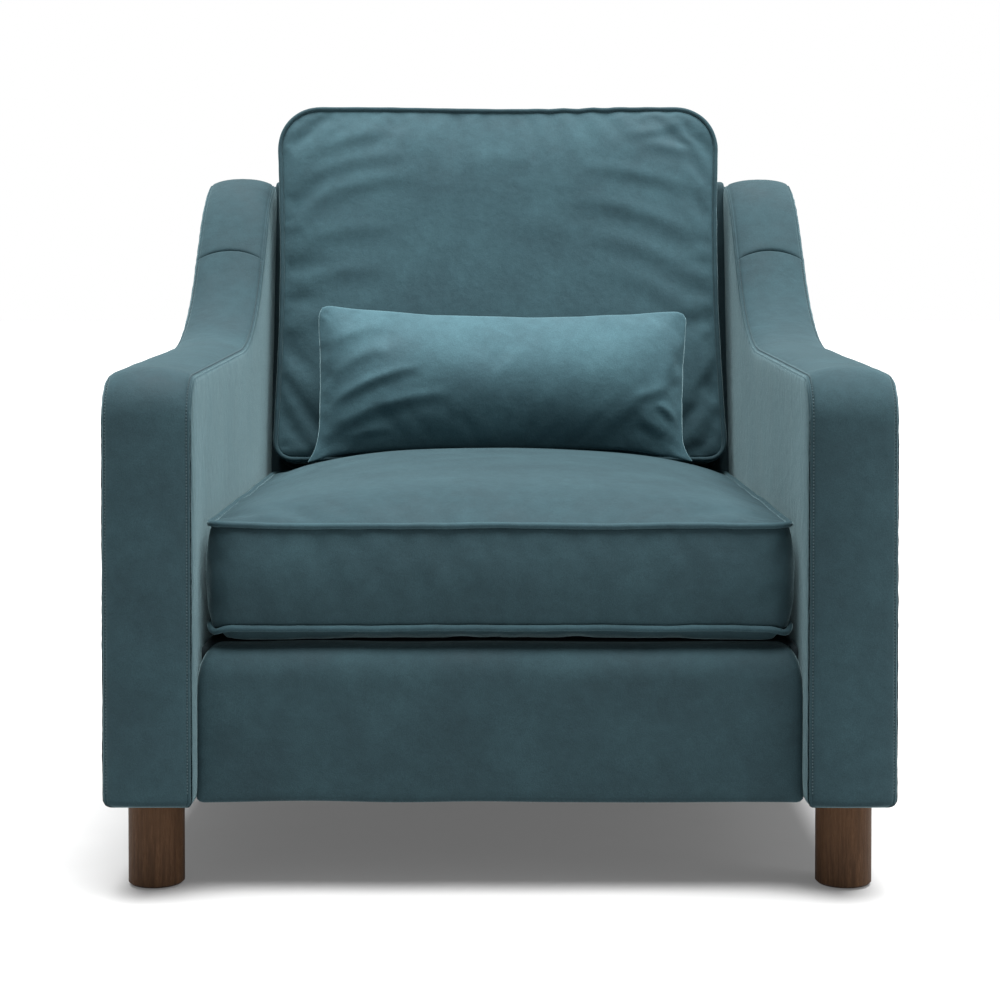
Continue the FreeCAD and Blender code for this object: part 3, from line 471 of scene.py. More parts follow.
BAND_MIDDLE = (ARM_OUTER + ARM_INNER) / 2
STITCH_INSET = 3.4 * MM
STITCH_GROOVE = 1.9 * MM
STITCH_PITCH = 3.6 * MM
STITCH_LENGTH = 2.0 * MM
STITCH_RADIUS = 0.7 * MM
STITCH_SINK = 0.75 * MM       # the thread's centre lies this far under the band's crown
STITCH_START = 16 * MM
STITCH_STOP = 12 * MM         # the row ends this far before the cross seam
STITCH_SIDES = 6
REAR_FACE = 468 * MM
BACK_TOP = 838 * MM


def outside_back(height):
    """Distance to the rear of the frame's raked rear face at a height."""
    return REAR_FACE - (BACK_TOP - height) * math.tan(math.radians(OUTER_RAKE))


def arm_seam():
    """Runs of the arm's side outline from the front foot to the heel: length, turn in degrees, pitch."""
    brow = ARM_FRONT + NOSE_RADIUS * (1 - math.sin(math.radians(LEVEL_SLOPE)))
    level = (LEVEL_END - brow) / math.cos(math.radians(LEVEL_SLOPE))

    def arc(radius, turn, pitch):
        return radius * math.radians(abs(turn)), turn, pitch
    return [(NOSE_TOP - NOSE_RADIUS - ARM_FOOT, 0, 5 * MM), arc(NOSE_RADIUS, LEVEL_SLOPE - 90, 3 * MM),
            (level, 0, 6 * MM), arc(SWOOP_RADIUS, SWOOP_SLOPE - LEVEL_SLOPE, 5 * MM),
            (SWOOP_RUN, 0, 4 * MM), arc(SHOULDER_RADIUS, SHOULDER_SLOPE - SWOOP_SLOPE, 5 * MM),
            arc(HEEL_RADIUS, -90 - OUTER_RAKE - SHOULDER_SLOPE, 3 * MM)]


def direction(degrees):
    """Unit vector in the side view, counted from the rear upwards."""
    return np.array([math.cos(math.radians(degrees)), math.sin(math.radians(degrees))])


def arm_line():
    """Points of the arm's seam line in the side view, their outward normals and running lengths."""
    heading = 90.0
    points, normals, lengths = [np.array([ARM_FRONT, ARM_FOOT])], [direction(heading + 90)], [0.0]
    for length, turn, pitch in arm_seam():
        count = max(2, int(length / pitch))
        for _ in range(count):
            points.append(points[-1] + direction(heading + turn / count / 2) * length / count)
            heading += turn / count
            normals.append(direction(heading + 90))
            lengths.append(lengths[-1] + length / count)
    return np.array(points), np.array(normals), np.array(lengths)


SEAM_POINTS, SEAM_NORMALS, SEAM_RUN = arm_line()
RISING = slice(int(np.argmax(SEAM_RUN > SEAM_RUN[-1] / 3)), int(np.argmax(SEAM_POINTS[:, 0])))
CROSS_RUN = float(np.interp(CROSS_SEAM, SEAM_POINTS[RISING, 0], SEAM_RUN[RISING]))


def seam_at(runs):
    """Points of the arm's seam line and their outward normals at the given running lengths."""
    points, normals = (np.stack([np.interp(runs, SEAM_RUN, table[:, axis]) for axis in (0, 1)], axis=-1)
                       for table in (SEAM_POINTS, SEAM_NORMALS))
    return points, normals


def edge_distance(points, outline):
    """Shortest distance in the side view from each point to a chain of points."""
    flat = points.reshape(-1, 2)
    best = np.full(len(flat), 9.0)
    for start in range(0, len(flat), 4000):
        part = flat[start:start + 4000]
        gap = np.linalg.norm(part[:, None, :] - outline[None, :, :], axis=2)
        best[start:start + 4000] = gap.min(axis=1)
    return best.reshape(points.shape[:-1])


def foot_inset(height):
    """How far the arm's sides draw in at a height, to round its lower corners."""
    rise = np.clip((height - ARM_FOOT) / FOOT_RADIUS, 0, 1)
    return FOOT_RADIUS * (1 - np.sqrt(1 - (1 - rise) ** 2))


def straight(start, end, count):
    """Points along a straight edge in the side view."""
    return np.stack([np.linspace(start[0], end[0], count), np.linspace(start[1], end[1], count)], 1)


def arm_panel(side, sign, outer):
    """The inner or outer face of an arm: a padded panel that rounds in to its seams."""
    top = SEAM_POINTS
    foot_length = outside_back(ARM_FOOT) - ARM_FRONT
    feet_y = ARM_FRONT + (top[:, 0] - ARM_FRONT) / (top[-1, 0] - ARM_FRONT) * foot_length
    feet = np.stack([feet_y, np.full(len(top), ARM_FOOT)], axis=1)
    rise = 1 - edged(0, 1, 0.02, 0.006, 0.10)[::-1]
    grid = feet[:, None, :] + (top - feet)[:, None, :] * rise[None, :, None]
    front_edge = straight((ARM_FRONT, ARM_FOOT), (ARM_FRONT, top[0, 1]), FRONT_EDGE_POINTS)
    rear_edge = straight(grid[-1, 0], grid[-1, -1], REAR_EDGE_POINTS)
    outline = np.concatenate([top, front_edge, rear_edge, feet[::2]])
    gap = edge_distance(grid, outline)
    seam_x = (ARM_OUTER - SEAM_TUCK) if outer else (ARM_INNER + SEAM_TUCK)
    way = 1 if outer else -1
    flat = np.stack([np.full(gap.shape, sign * seam_x), grid[..., 0], grid[..., 1]], axis=-1)
    seed = 11 + 2 * sign + outer
    swell = SEAM_TUCK * (1 - 0.4 * np.exp(-gap / (1.5 * MM)) - 0.6 * np.exp(-gap / (14 * MM)))
    waves = 0.4 * MM * ripple(flat, 230 * MM, seed) * smooth_step(gap, 6 * MM, 60 * MM)
    puckers = 0.45 * MM * ripple(flat, 17 * MM, seed + 40) * np.exp(-gap / (11 * MM))
    front = flat.copy()
    drawn_in = (1.0 if outer else INNER_FOOT_SHARE) * foot_inset(grid[..., 1])
    padding = np.minimum(swell + waves + puckers, SEAM_TUCK + 1 * MM) - drawn_in
    front[..., 0] = sign * (seam_x + way * padding)
    rear = flat.copy()
    rear[..., 0] = sign * (seam_x - way * (PANEL_DEPTH + FOOT_RADIUS))
    centre = grid.mean(axis=(0, 1))
    rear[..., 1:] = centre + (grid - centre) * PANEL_BACK_SHARE
    piece = mended(add_piece(f"{side}_arm_{'outer' if outer else 'inner'}_panel", *slab(front, rear)))
    layers = ("outer_cover", "outer_padding") if outer else ("inner_cover", "inner_foam")
    # the inner faces take the velvet copy with painted shade
    cloth = VELVET if outer else INNER_ARM_SHADED_VELVET
    finished(piece, REST, cloth, [f"{side}_arm_{layer}" for layer in layers])


def band_offsets(across):
    """Height of the band over its seam line, and the depth of the groove that its topstitch pulls in."""
    share = np.clip(np.abs(across) / BAND_HALF, 0, 1)
    crown = BAND_CROWN * (1 - share ** 2.1) ** 0.6
    from_seam = BAND_HALF - np.abs(across)
    groove = STITCH_GROOVE * np.exp(-((from_seam - STITCH_INSET) / (0.8 * MM)) ** 2)
    return crown, groove


def band_inset(points, across):
    """How far each point of the band draws in near the arm's foot: fully outside, less on the inner side."""
    share = across / BAND_HALF
    return foot_inset(points[:, 1])[:, None] * np.where(share > 0, share, INNER_FOOT_SHARE * share)[None, :]


def arm_band(side, sign, upper):
    """The boxing between an arm's two seams, below or above the cross seam."""
    if upper:
        after = SEAM_RUN[SEAM_RUN > CROSS_RUN + SEAM_CLEAR]
        runs = np.concatenate([[CROSS_RUN], CROSS_RUN + SEAM_FINE, after])
    else:
        before = SEAM_RUN[SEAM_RUN < CROSS_RUN - SEAM_CLEAR]
        runs = np.concatenate([before, CROSS_RUN - SEAM_FINE[::-1], [CROSS_RUN]])
    points, normals = seam_at(runs)
    ticks = BAND_TICKS - BAND_HALF
    across = np.concatenate([ticks, [0.0], -ticks[::-1]])
    height = np.subtract(*band_offsets(across))
    start, end = runs - runs[0], runs[-1] - runs
    if upper:
        lift = 1 - 0.42 * np.exp(-start / (2.2 * MM))
    else:
        toe = np.clip(start / (6 * MM), 0, 1)
        lip = np.clip(end / (3.6 * MM), 0, 1)
        lift = np.sqrt(1 - (1 - toe) ** 2) * (0.64 + 0.36 * np.sqrt(1 - (1 - lip) ** 2))
    offsets = lift[:, None] * height[None, :]
    surface = np.empty((len(points), len(across), 3))
    surface[..., 0] = sign * (BAND_MIDDLE + across[None, :] - band_inset(points, across))
    from_cross = start if upper else end
    fade = np.exp(-from_cross / SWEEP_FADE)[:, None]
    sweep = runs[:, None] - SEAM_SWEEP * fade * ((across / BAND_HALF) ** 2)[None, :]
    base, lean = seam_at(sweep)
    surface[..., 1:] = base + lean * offsets[..., None]
    bulge = np.clip(height / BAND_CROWN, 0, 1)[None, :]
    relief = 0.8 * MM * ripple(surface, 110 * MM, 31 + sign + upper) * bulge
    relief += 0.25 * MM * ripple(surface, 34 * MM, 33 + sign + upper) * bulge * (1 - bulge) * 3
    surface[..., 1:] += normals[:, None, :] * relief[..., None]
    under = np.linspace(BAND_HALF - 0.5 * MM, -BAND_HALF + 0.5 * MM, 7)
    inner = np.empty((len(points), len(under), 3))
    inner[..., 0] = sign * (BAND_MIDDLE + under[None, :] - band_inset(points, under))
    inner[..., 1:] = (points - normals * BAND_BACK)[:, None, :]
    rings = np.concatenate([surface, inner], axis=1)
    if upper:
        limit = outside_back(rings[..., 2]) - 0.5 * MM
        rings[..., 1] = np.minimum(rings[..., 1], limit)
    name = "upper_band" if upper else "band"
    piece = mended(add_piece(f"{side}_arm_{name}", *tube(rings)))
    layers = ("upper_cover", "top_foam") if upper else ("band_cover", "front_foam")
    finished(piece, REST, VELVET, [f"{side}_arm_{layer}" for layer in layers])


def arm_topstitch(side, sign):
    """A row of stitches just inside each seam of the front band."""
    from_middle = BAND_HALF - STITCH_INSET
    height = band_offsets(np.array([from_middle]))[0][0] - STITCH_SINK
    # share of a stitch's length and of its radius there
    thickness = ((0.0, 0.35), (0.2, 1.0), (0.8, 1.0), (1.0, 0.35))
    stitches = []
    for place in (-1, 1):
        for start in np.arange(STITCH_START, CROSS_RUN - STITCH_STOP, STITCH_PITCH):
            ring = []
            for share, size in thickness:
                (y, z), (ny, nz) = seam_at(start + share * STITCH_LENGTH)
                for corner in range(STITCH_SIDES):
                    turn = corner * 2 * math.pi / STITCH_SIDES
                    rise = height + STITCH_RADIUS * size * math.sin(turn)
                    x = BAND_MIDDLE + place * from_middle + STITCH_RADIUS * size * math.cos(turn)
                    ring.append((sign * x, y + ny * rise, z + nz * rise))
            stitches.append(tube(np.array(ring).reshape(len(thickness), STITCH_SIDES, 3)))
    piece = mended(add_piece(f"{side}_arm_topstitch", *joined(stitches)))
    finished(piece, REST, THREAD)


def arms():
    for side, sign in SIDES:
        arm_panel(side, sign, outer=False)
        arm_panel(side, sign, outer=True)
        arm_band(side, sign, upper=False)
        arm_band(side, sign, upper=True)
        arm_topstitch(side, sign)


# ---------------------------------------------------------------- fixed upholstery of base and back

def rounded_section(corners, radii, pitch):
    """A closed outline in the side view with each corner rounded, and its outward normals."""
    count = len(corners)
    corners = np.asarray(corners, float)
    points = []
    for index in range(count):
        before, here, after = corners[index - 1], corners[index], corners[(index + 1) % count]
        into, out = (here - before), (after - here)
        into, out = into / np.linalg.norm(into), out / np.linalg.norm(out)
        bend = math.acos(float(np.clip(into @ out, -1, 1)))
        reach = radii[index] * math.tan(bend / 2)
        start, end = here - into * reach, here + out * reach
        steps = max(2, int(bend * radii[index] / (pitch / 2)))
        for share in np.linspace(0, 1, steps + 1):
            points.append((1 - share) ** 2 * start + 2 * share * (1 - share) * here + share ** 2 * end)
        finish = after - out * radii[(index + 1) % count]
        run = np.linalg.norm(finish - end)
        for share in np.linspace(0, 1, max(2, int(run / pitch)))[1:-1]:
            points.append(end + (finish - end) * share)
    points = np.array(points)
    tangent = np.roll(points, -1, axis=0) - np.roll(points, 1, axis=0)
    tangent /= np.maximum(np.linalg.norm(tangent, axis=1), 1e-9)[:, None]
    turning = (points[:, 0] * np.roll(points[:, 1], -1) - np.roll(points[:, 0], -1) * points[:, 1]).sum()
    way = 1 if turning > 0 else -1
    return points, way * np.stack([tangent[:, 1], -tangent[:, 0]], axis=1)


def bolster(name, section, normals, low, high, end_radius, pitch):
    """A padded form with one side-view section, from low to high in X, its ends rounded in."""
    places = edged(low, high, pitch, 2 * MM, end_radius)
    gap = np.minimum(places - low, high - places)
    short = np.clip(end_radius - gap, 0, end_radius)
    inset = end_radius - np.sqrt(np.maximum(0, end_radius ** 2 - short ** 2))
    rings = np.empty((len(places), len(section), 3))
    rings[..., 0] = places[:, None]
    rings[..., 1:] = section[None] - normals[None] * inset[:, None, None]
    return add_piece(name, *tube(rings))


APRON_LIFT = 4 * MM           # its lower edge stays this far above the foot of the CAD cover
APRON_SHELF = 6 * MM          # its top reaches this far behind the rail's padding
APRON_LEDGE = 28 * MM
APRON_RADII = (2 * MM, 1 * MM, 1 * MM, 3 * MM, 7 * MM, 38 * MM)
APRON_SWELL = 2.2 * MM
APRON_SHOULDER = 17.5 * MM    # how far the ends draw in at the top
SHOULDER_FADE = 17 * MM


def apron():
    """The padded front rail under the seat cushion."""
    low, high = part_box("front_rail_cover")
    low = low + Vector((0, 0, APRON_LIFT))
    front, rear = low.y + 1 * MM, high.y
    shelf, ledge = rear + APRON_SHELF, high.z - APRON_LEDGE
    corners = [(shelf, high.z), (shelf, ledge), (rear, ledge), (rear, low.z), (front, low.z), (front, high.z)]
    section, normals = rounded_section(corners, APRON_RADII, 6 * MM)
    piece = bolster("front_rail_upholstery", section, normals, low.x, high.x, 9 * MM, 7 * MM)
    points = coordinates(piece.data)
    rise = np.clip((points[:, 2] - low.z) / (high.z - low.z), 0, 1)
    facing = smooth_step(rear - points[:, 1], 4 * MM, 22 * MM)
    side = high.x - np.abs(points[:, 0])
    swell = APRON_SWELL * np.sin(math.pi * rise) - 1.0 * MM
    points[:, 1] -= facing * swell * smooth_step(side, 0, 30 * MM)
    points[:, 1] += facing * 0.8 * MM * ripple(points, 120 * MM, 51)
    points[:, 2] += 1.1 * MM * ripple(points * [1, 0, 0], 210 * MM, 52)
    shoulder = APRON_SHOULDER * np.exp((points[:, 2] - high.z) / SHOULDER_FADE)
    points[:, 0] *= 1 - shoulder / high.x
    reshape(piece, points)
    finished(mended(piece), REST, RAIL_PAINTED_LIGHT_VELVET, ["front_rail_cover", "front_rail_foam"])


DECK_ROLL = 8 * MM            # drop of the cloth at the deck's edge
DECK_HOLLOW = 1.5 * MM


def deck():
    """The sprung deck under the cushion: a padded cloth, a little hollow in its middle."""
    low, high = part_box("deck_pad")[0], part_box("deck_cloth")[1]
    across = edged(low.x, high.x, 16 * MM, 3 * MM, 14 * MM)
    along = edged(low.y, high.y, 16 * MM, 3 * MM, 14 * MM)
    grid = np.stack(np.meshgrid(across, along, [high.z], indexing="ij"), axis=-1)[:, :, 0, :]
    gap = np.minimum.reduce([grid[..., 0] - low.x, high.x - grid[..., 0],
                             grid[..., 1] - low.y, high.y - grid[..., 1]])
    front = grid.copy()
    front[..., 2] -= DECK_ROLL * np.exp(-gap / (5 * MM)) + DECK_HOLLOW * smooth_step(gap, 20 * MM, 200 * MM)
    front[..., 2] += 0.5 * MM * ripple(grid, 90 * MM, 61) - 0.5 * MM
    rear = grid.copy()
    rear[..., 2] = low.z
    piece = mended(add_piece("seat_deck", *slab(front, rear)))
    finished(piece, REST, DECK, ["deck_pad", "deck_cloth"])


BACK_RAKE = 12
LINING_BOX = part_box("inside_back_cover")
BACK_FRONT = 232 * MM
BACK_FOOT = 440 * MM
LINING_SETBACK = 107.5 * MM
LINING_DEPTH = 20 * MM
LINING_ROLL = 5 * MM          # padding that swells over the top rail
LINING_RADII = (3 * MM, 2 * MM, 2 * MM, 5 * MM, 16 * MM, 6 * MM)


def inside_back(height, setback):
    """Distance to the rear of the raked plane that lies setback behind the back cushion's crown."""
    rake = math.radians(BACK_RAKE)
    return BACK_FRONT + (height - BACK_FOOT) * math.tan(rake) + setback / math.cos(rake)


def inside_back_lining():
    """The covered padding behind the back cushion, rolled over the top rail."""
    low, high = LINING_BOX
    high = high + Vector((0, 0, LINING_ROLL))
    depth = LINING_SETBACK + LINING_DEPTH
    rail_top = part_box("back_top_rail")[1].z
    over_rail = rail_top + 1 * MM
    corners = [(inside_back(low.z, depth), low.z), (inside_back(rail_top, depth), over_rail),
               (outside_back(rail_top) - 0.5 * MM, over_rail), (outside_back(high.z) - 0.5 * MM, high.z),
               (inside_back(high.z, LINING_SETBACK), high.z), (inside_back(low.z, LINING_SETBACK), low.z)]
    section, normals = rounded_section(corners, LINING_RADII, 9 * MM)
    piece = bolster("inside_back_upholstery", section, normals, low.x, high.x, 5 * MM, 12 * MM)
    points = coordinates(piece.data)
    facing = np.exp(-(points[:, 1] - inside_back(points[:, 2], LINING_SETBACK)) / (6 * MM))
    points[:, 1] += facing * (0.6 * MM + 0.6 * MM * ripple(points, 90 * MM, 71))
    reshape(piece, points)
    finished(mended(piece), REST, VELVET, ["inside_back_cover", "inside_back_foam"])


BACK_CORNERS = (10 * MM, 34 * MM)   # radii of the panel's lower and upper corners
BACK_LAP = 18 * MM            # the panel reaches this far forward over the arms' rear edges


def outside_back_panel():
    """The padded panel that closes the back, rolled at its edge."""
    low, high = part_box("outside_back_cover")
    thickness = high.y - outside_back(high.z)
    x, z = rounded_grid(high.x - 2 * MM, low.z + 1 * MM, high.z, *BACK_CORNERS, 11 * MM)
    number = np.arange(x.size).reshape(x.shape)
    rim = np.stack([x.ravel()[border(number)], z.ravel()[border(number)]], axis=1)
    gap = edge_distance(np.stack([x, z], axis=-1), rim)
    base = np.stack([x, outside_back(z) - BACK_LAP, z], axis=-1)
    roll = np.sqrt(1 - (1 - np.clip(gap / (9 * MM), 0, 1)) ** 2)
    puckers = 0.35 * MM * ripple(base, 22 * MM, 82) * np.exp(-gap / (20 * MM))
    relief = 0.7 * MM * ripple(base, 200 * MM, 81) + puckers
    front = base.copy()
    front[..., 1] += BACK_LAP + 2 * MM + (thickness - 3 * MM) * roll
    front[..., 1] += np.minimum(relief, 0.5 * MM) * smooth_step(gap, 2 * MM, 30 * MM)
    piece = mended(add_piece("outside_back_upholstery", *slab(front, base)))
    finished(piece, REST, VELVET, ["outside_back_cover"])


# ---------------------------------------------------------------- loose cushions

def rounded_grid(half, low, high, low_radius, high_radius, pitch):
    """A grid of points over a rectangle whose corners are rounded, its edge on the outline."""
    reach = max(low_radius, high_radius)
    fine = pitch * 0.7
    across = np.concatenate([span(-half, reach - half, fine)[:-1], span(reach - half, half - reach, pitch),
                             span(half - reach, half, fine)[1:]])
    up = np.concatenate([span(low, low + low_radius, fine)[:-1],
                         span(low + low_radius, high - high_radius, pitch),
                         span(high - high_radius, high, fine)[1:]])
    x, y = np.meshgrid(across, up, indexing="ij")
    for radius, centre_y, way in ((low_radius, low + low_radius, -1), (high_radius, high - high_radius, 1)):
        a = (np.abs(x) - (half - radius)) / radius
        b = way * (y - centre_y) / radius
        inside = (a > 0) & (b > 0)
        size = np.hypot(a, b)
        squeeze = np.where(inside & (size > 0), np.maximum(a, b) / np.maximum(size, 1e-9), 1.0)
        x = np.where(inside, np.sign(x) * (half - radius + a * squeeze * radius), x)
        y = np.where(inside, centre_y + way * b * squeeze * radius, y)
    return x, y


def seam_wave(points, seed, size=1.0):
    """How far a sewn edge wanders from its true line."""
    return size * (0.9 * MM * ripple(points, 150 * MM, seed) + 0.35 * MM * ripple(points, 34 * MM, seed + 1))


BOXING_ROWS = 9
SEAM_FADE = 40 * MM


def boxed_cover(name, x, y, gap, loops, domes, reaches, swell, seed):
    """A boxed cushion cover in its own frame: two domed panels and the boxing between their seams."""
    (top, bottom), (rise, drop) = loops, domes
    shape = x.shape
    number = np.arange(x.size).reshape(shape)
    edge = border(number)
    edge_x, edge_y = x.ravel()[edge], y.ravel()[edge]
    panels = []
    for level, height, shift, reach in ((top, rise, 0, reaches[0]), (bottom, -drop, 5, reaches[1])):
        flat = np.stack([x, y, np.full(shape, level)], axis=-1)
        wave = seam_wave(flat, seed + shift) * np.exp(-gap.min(axis=0) / SEAM_FADE)
        flat[..., 2] += height * dome(gap, reach) + wave
        panels.append(flat.reshape(-1, 3))
    out_x, out_y = outward(edge_x, edge_y)
    sides = []
    for row in range(1, BOXING_ROWS):
        share = row / BOXING_ROWS
        blend = panels[0][edge] * (1 - share) + panels[1][edge] * share
        push = swell * (1 - (2 * share - 1) ** 2) ** 0.8
        blend[:, 0] += out_x * push
        blend[:, 1] += out_y * push
        sides.append(blend)
    points = np.concatenate(panels + sides)
    faces = sheet_faces(number) + sheet_faces(number + x.size, flip=True)
    rings = [edge] + [2 * x.size + row * len(edge) + np.arange(len(edge)) for row in range(BOXING_ROWS - 1)]
    rings.append(edge + x.size)
    for first, second in zip(rings[:-1], rings[1:]):
        faces += band_faces(first, second)
    piece = mended(add_piece(name, points, faces))
    crease_seams(piece, (edge, edge + x.size))
    return piece, edge, np.concatenate([edge, edge + x.size])


def crease_seams(piece, rings):
    """Keep the cover's sewn edges sharp when it is subdivided."""
    sewn = {frozenset(pair) for ring in rings for pair in zip(ring.tolist(), np.roll(ring, -1).tolist())}
    marks = piece.data.attributes.new("crease_edge", "FLOAT", "EDGE")
    for line in piece.data.edges:
        marks.data[line.index].value = 1.0 if frozenset(line.vertices) in sewn else 0.0


def edge_gap(x, y):
    """Distances of each grid point to the side edges and to the two ends."""
    return np.stack([x.max() - np.abs(x), np.minimum(y - y.min(), y.max() - y)])


def dome(gap, reach):
    """Share of the full crown at each point: steep beside the seams and level in the middle."""
    share = 1.0
    for distance, fade in zip(gap, np.broadcast_to(reach, 2)):
        full = distance.max()
        rise = (1 - np.exp(-distance / fade)) * (1 - np.exp((distance - 2 * full) / fade))
        share = share * rise / (1 - np.exp(-full / fade)) ** 2
    return share


def outward(x, y):
    """Outward unit directions of a closed loop of points."""
    along_x, along_y = np.roll(x, -1) - np.roll(x, 1), np.roll(y, -1) - np.roll(y, 1)
    length = np.maximum(np.hypot(along_x, along_y), 1e-9)
    turn = 1 if (x * np.roll(y, -1) - np.roll(x, -1) * y).sum() > 0 else -1
    return turn * along_y / length, -turn * along_x / length


CORD_PITCH = 4.5 * MM
PIPING_RADIUS = 3.5 * MM
PIPING_PROUD = 2.3 * MM       # the cord's centre lies this far outside the cover's seam


def cord_loop(points, radius, around=10, seed=0):
    """A round cord along a closed loop of points."""
    ahead = np.roll(points, -1, axis=0) - np.roll(points, 1, axis=0)
    ahead /= np.linalg.norm(ahead, axis=1)[:, None]
    first = np.cross(ahead, np.array([0, 0, 1.0]))
    first /= np.linalg.norm(first, axis=1)[:, None]
    second = np.cross(ahead, first)
    girth = radius * (1 + 0.05 * ripple(points, 28 * MM, seed))
    turns = np.arange(around) * 2 * math.pi / around
    rings = points[:, None, :] + girth[:, None, None] * (
        np.cos(turns)[None, :, None] * first[:, None, :] + np.sin(turns)[None, :, None] * second[:, None, :])
    return tube(rings, closed=True)


def resampled(points, pitch):
    """The same closed loop with evenly spaced points."""
    ring = np.concatenate([points, points[:1]])
    run = np.concatenate([[0], np.cumsum(np.linalg.norm(np.diff(ring, axis=0), axis=1))])
    places = np.linspace(0, run[-1], int(run[-1] / pitch) + 1)[:-1]
    return np.stack([np.interp(places, run, ring[:, axis]) for axis in range(3)], axis=1)


def piping_piece(name, loops, seed):
    """The cords of a cushion, proud of its seams."""
    cords = []
    for number, line in enumerate(loops):
        out_x, out_y = outward(line[:, 0], line[:, 1])
        line[:, 0] += out_x * PIPING_PROUD
        line[:, 1] += out_y * PIPING_PROUD
        cords.append(cord_loop(resampled(line, CORD_PITCH), PIPING_RADIUS, seed=seed + number))
    return mended(add_piece(name, *joined(cords)))


CUSHION_CORNER = 24 * MM
CUSHION_PITCH = 11 * MM
SEAT_SLACK = 17 * MM          # the crown is drawn this much lower and the cloth's pressure lifts it
SEAT_REACHES = ((130 * MM, 60 * MM), 9 * MM)   # distances over which the top and the foot leave their seams
SEAT_SWELL = 5 * MM
SEAT_TUCK = (5 * MM, 17 * MM)   # the foot starts and ends its drop this far inside the lower seam


def seat_cushion():
    """The loose seat cushion: domed top, boxing and flat foot, blown up as cloth between its seams."""
    low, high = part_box("seat_cushion_piping")
    cover_low, cover_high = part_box("seat_cushion_cover")
    half = high.x - PIPING_RADIUS - PIPING_PROUD
    front, rear = low.y + PIPING_RADIUS + PIPING_PROUD, high.y - PIPING_RADIUS - PIPING_PROUD
    levels = (high.z - PIPING_RADIUS, low.z + PIPING_RADIUS)
    x, y = rounded_grid(half, front, rear, CUSHION_CORNER, CUSHION_CORNER, CUSHION_PITCH)
    domes = (cover_high.z - levels[0] - SEAT_SLACK, levels[1] - cover_low.z)
    piece, edge, held = boxed_cover("seat_cushion_upholstery", x, y, edge_gap(x, y), levels, domes,
                                    SEAT_REACHES, SEAT_SWELL, 101)
    seams = [coordinates(piece.data)[edge + shift] for shift in (0, x.size)]
    inflate(piece, held, pressure=2.2, frames=18, slack=0.012, cap=9 * MM)
    points = coordinates(piece.data)
    top = points[:, 2] > levels[0]
    points[top, 2] += 1.2 * MM * ripple(points[top], 190 * MM, 103)
    facing = smooth_step(-points[:, 1], -front - 12 * MM, -front) * ~top
    points[:, 1] -= 0.35 * MM * facing * ripple(points * [1, 0, 0.12], 30 * MM, 104)
    zip_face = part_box("seat_cushion_zip")[0].y + 0.4 * MM
    points[:, 1] = np.minimum(points[:, 1], zip_face + 3 * MM * top)
    points[:, 2] = np.maximum(points[:, 2], cover_low.z + 0.6 * MM)
    points[:, 2] = np.minimum(points[:, 2], cover_high.z + 4 * MM)
    points[:, 0] = np.clip(points[:, 0], -ARM_INNER + 3 * MM, ARM_INNER - 3 * MM)
    reshape(piece, points)
    subdivided(piece)
    points = coordinates(piece.data)
    inset = np.minimum(half - np.abs(points[:, 0]), points[:, 1] - front)
    drop = np.maximum(levels[1] - points[:, 2], 0)
    points[:, 2] += drop * (1 - smooth_step(inset, *SEAT_TUCK))
    reshape(piece, points)
    finished(mended(piece), "seat_cushion", VELVET, ["seat_cushion_cover", "seat_cushion_foam"])
    cords = piping_piece("seat_cushion_cords", seams, 111)
    finished(cords, "seat_cushion", PIPING_PAINTED_LIGHT_VELVET, ["seat_cushion_piping"])


BACK_TURN = Matrix.Rotation(math.radians(90 - BACK_RAKE), 4, "X")


def leaning(origin):
    """Frame of a cushion that leans on the back: X across, Y up the rake, Z to the front."""
    return Matrix.Translation(origin) @ BACK_TURN


def placed(piece, place):
    piece.data.transform(place)
    piece.data.update()
    return piece


BACK_ORIGIN = Vector((0, 334.7 * MM, 421.67 * MM))
BACK_HALF = 327 * MM
BACK_HEIGHT = 527 * MM
BACK_LOOPS = (81.5 * MM, 4.5 * MM)   # levels of the front and rear seams
BACK_DOMES = (16 * MM, 1.5 * MM)
BACK_REACHES = (52 * MM, 30 * MM)
BACK_SWELL = 3 * MM
BACK_SHOULDER = 61 * MM       # radius of the upper corners
BACK_FOLDS = (  # start, end, bow, width and depth of each fold, in millimetres
    ((120, 432), (300, 392), 10, 10, 3.0), ((110, 384), (306, 318), 12, 12, 3.4),
    ((130, 330), (304, 262), 10, 12, 2.2), ((185, 484), (282, 512), -5, 8, 2.6),
    ((205, 470), (290, 452), 5, 8, 2.6), ((150, 282), (300, 200), 10, 13, 1.8),
    ((-288, 452), (-150, 492), 8, 10, 2.6), ((-300, 412), (-140, 452), 10, 10, 2.4),
    ((-302, 366), (-120, 420), 14, 12, 3.0), ((-304, 318), (-150, 340), 8, 12, 2.2),
    ((-302, 262), (-160, 276), 6, 12, 2.0), ((-300, 200), (-180, 212), 5, 12, 1.6),
    ((-60, 440), (60, 446), 4, 16, 1.4), ((20, 350), (110, 330), 4, 18, 1.2))
BACK_FOLD_DEPTH = 0.65
BACK_WAIST = 0.026            # the sides draw in by this share halfway up
BACK_LEAN = 3.5 * MM          # the head of the cushion stands this far to the left
BACK_FACE = 106.5 * MM        # the cushion's front stays behind this plane of its own frame


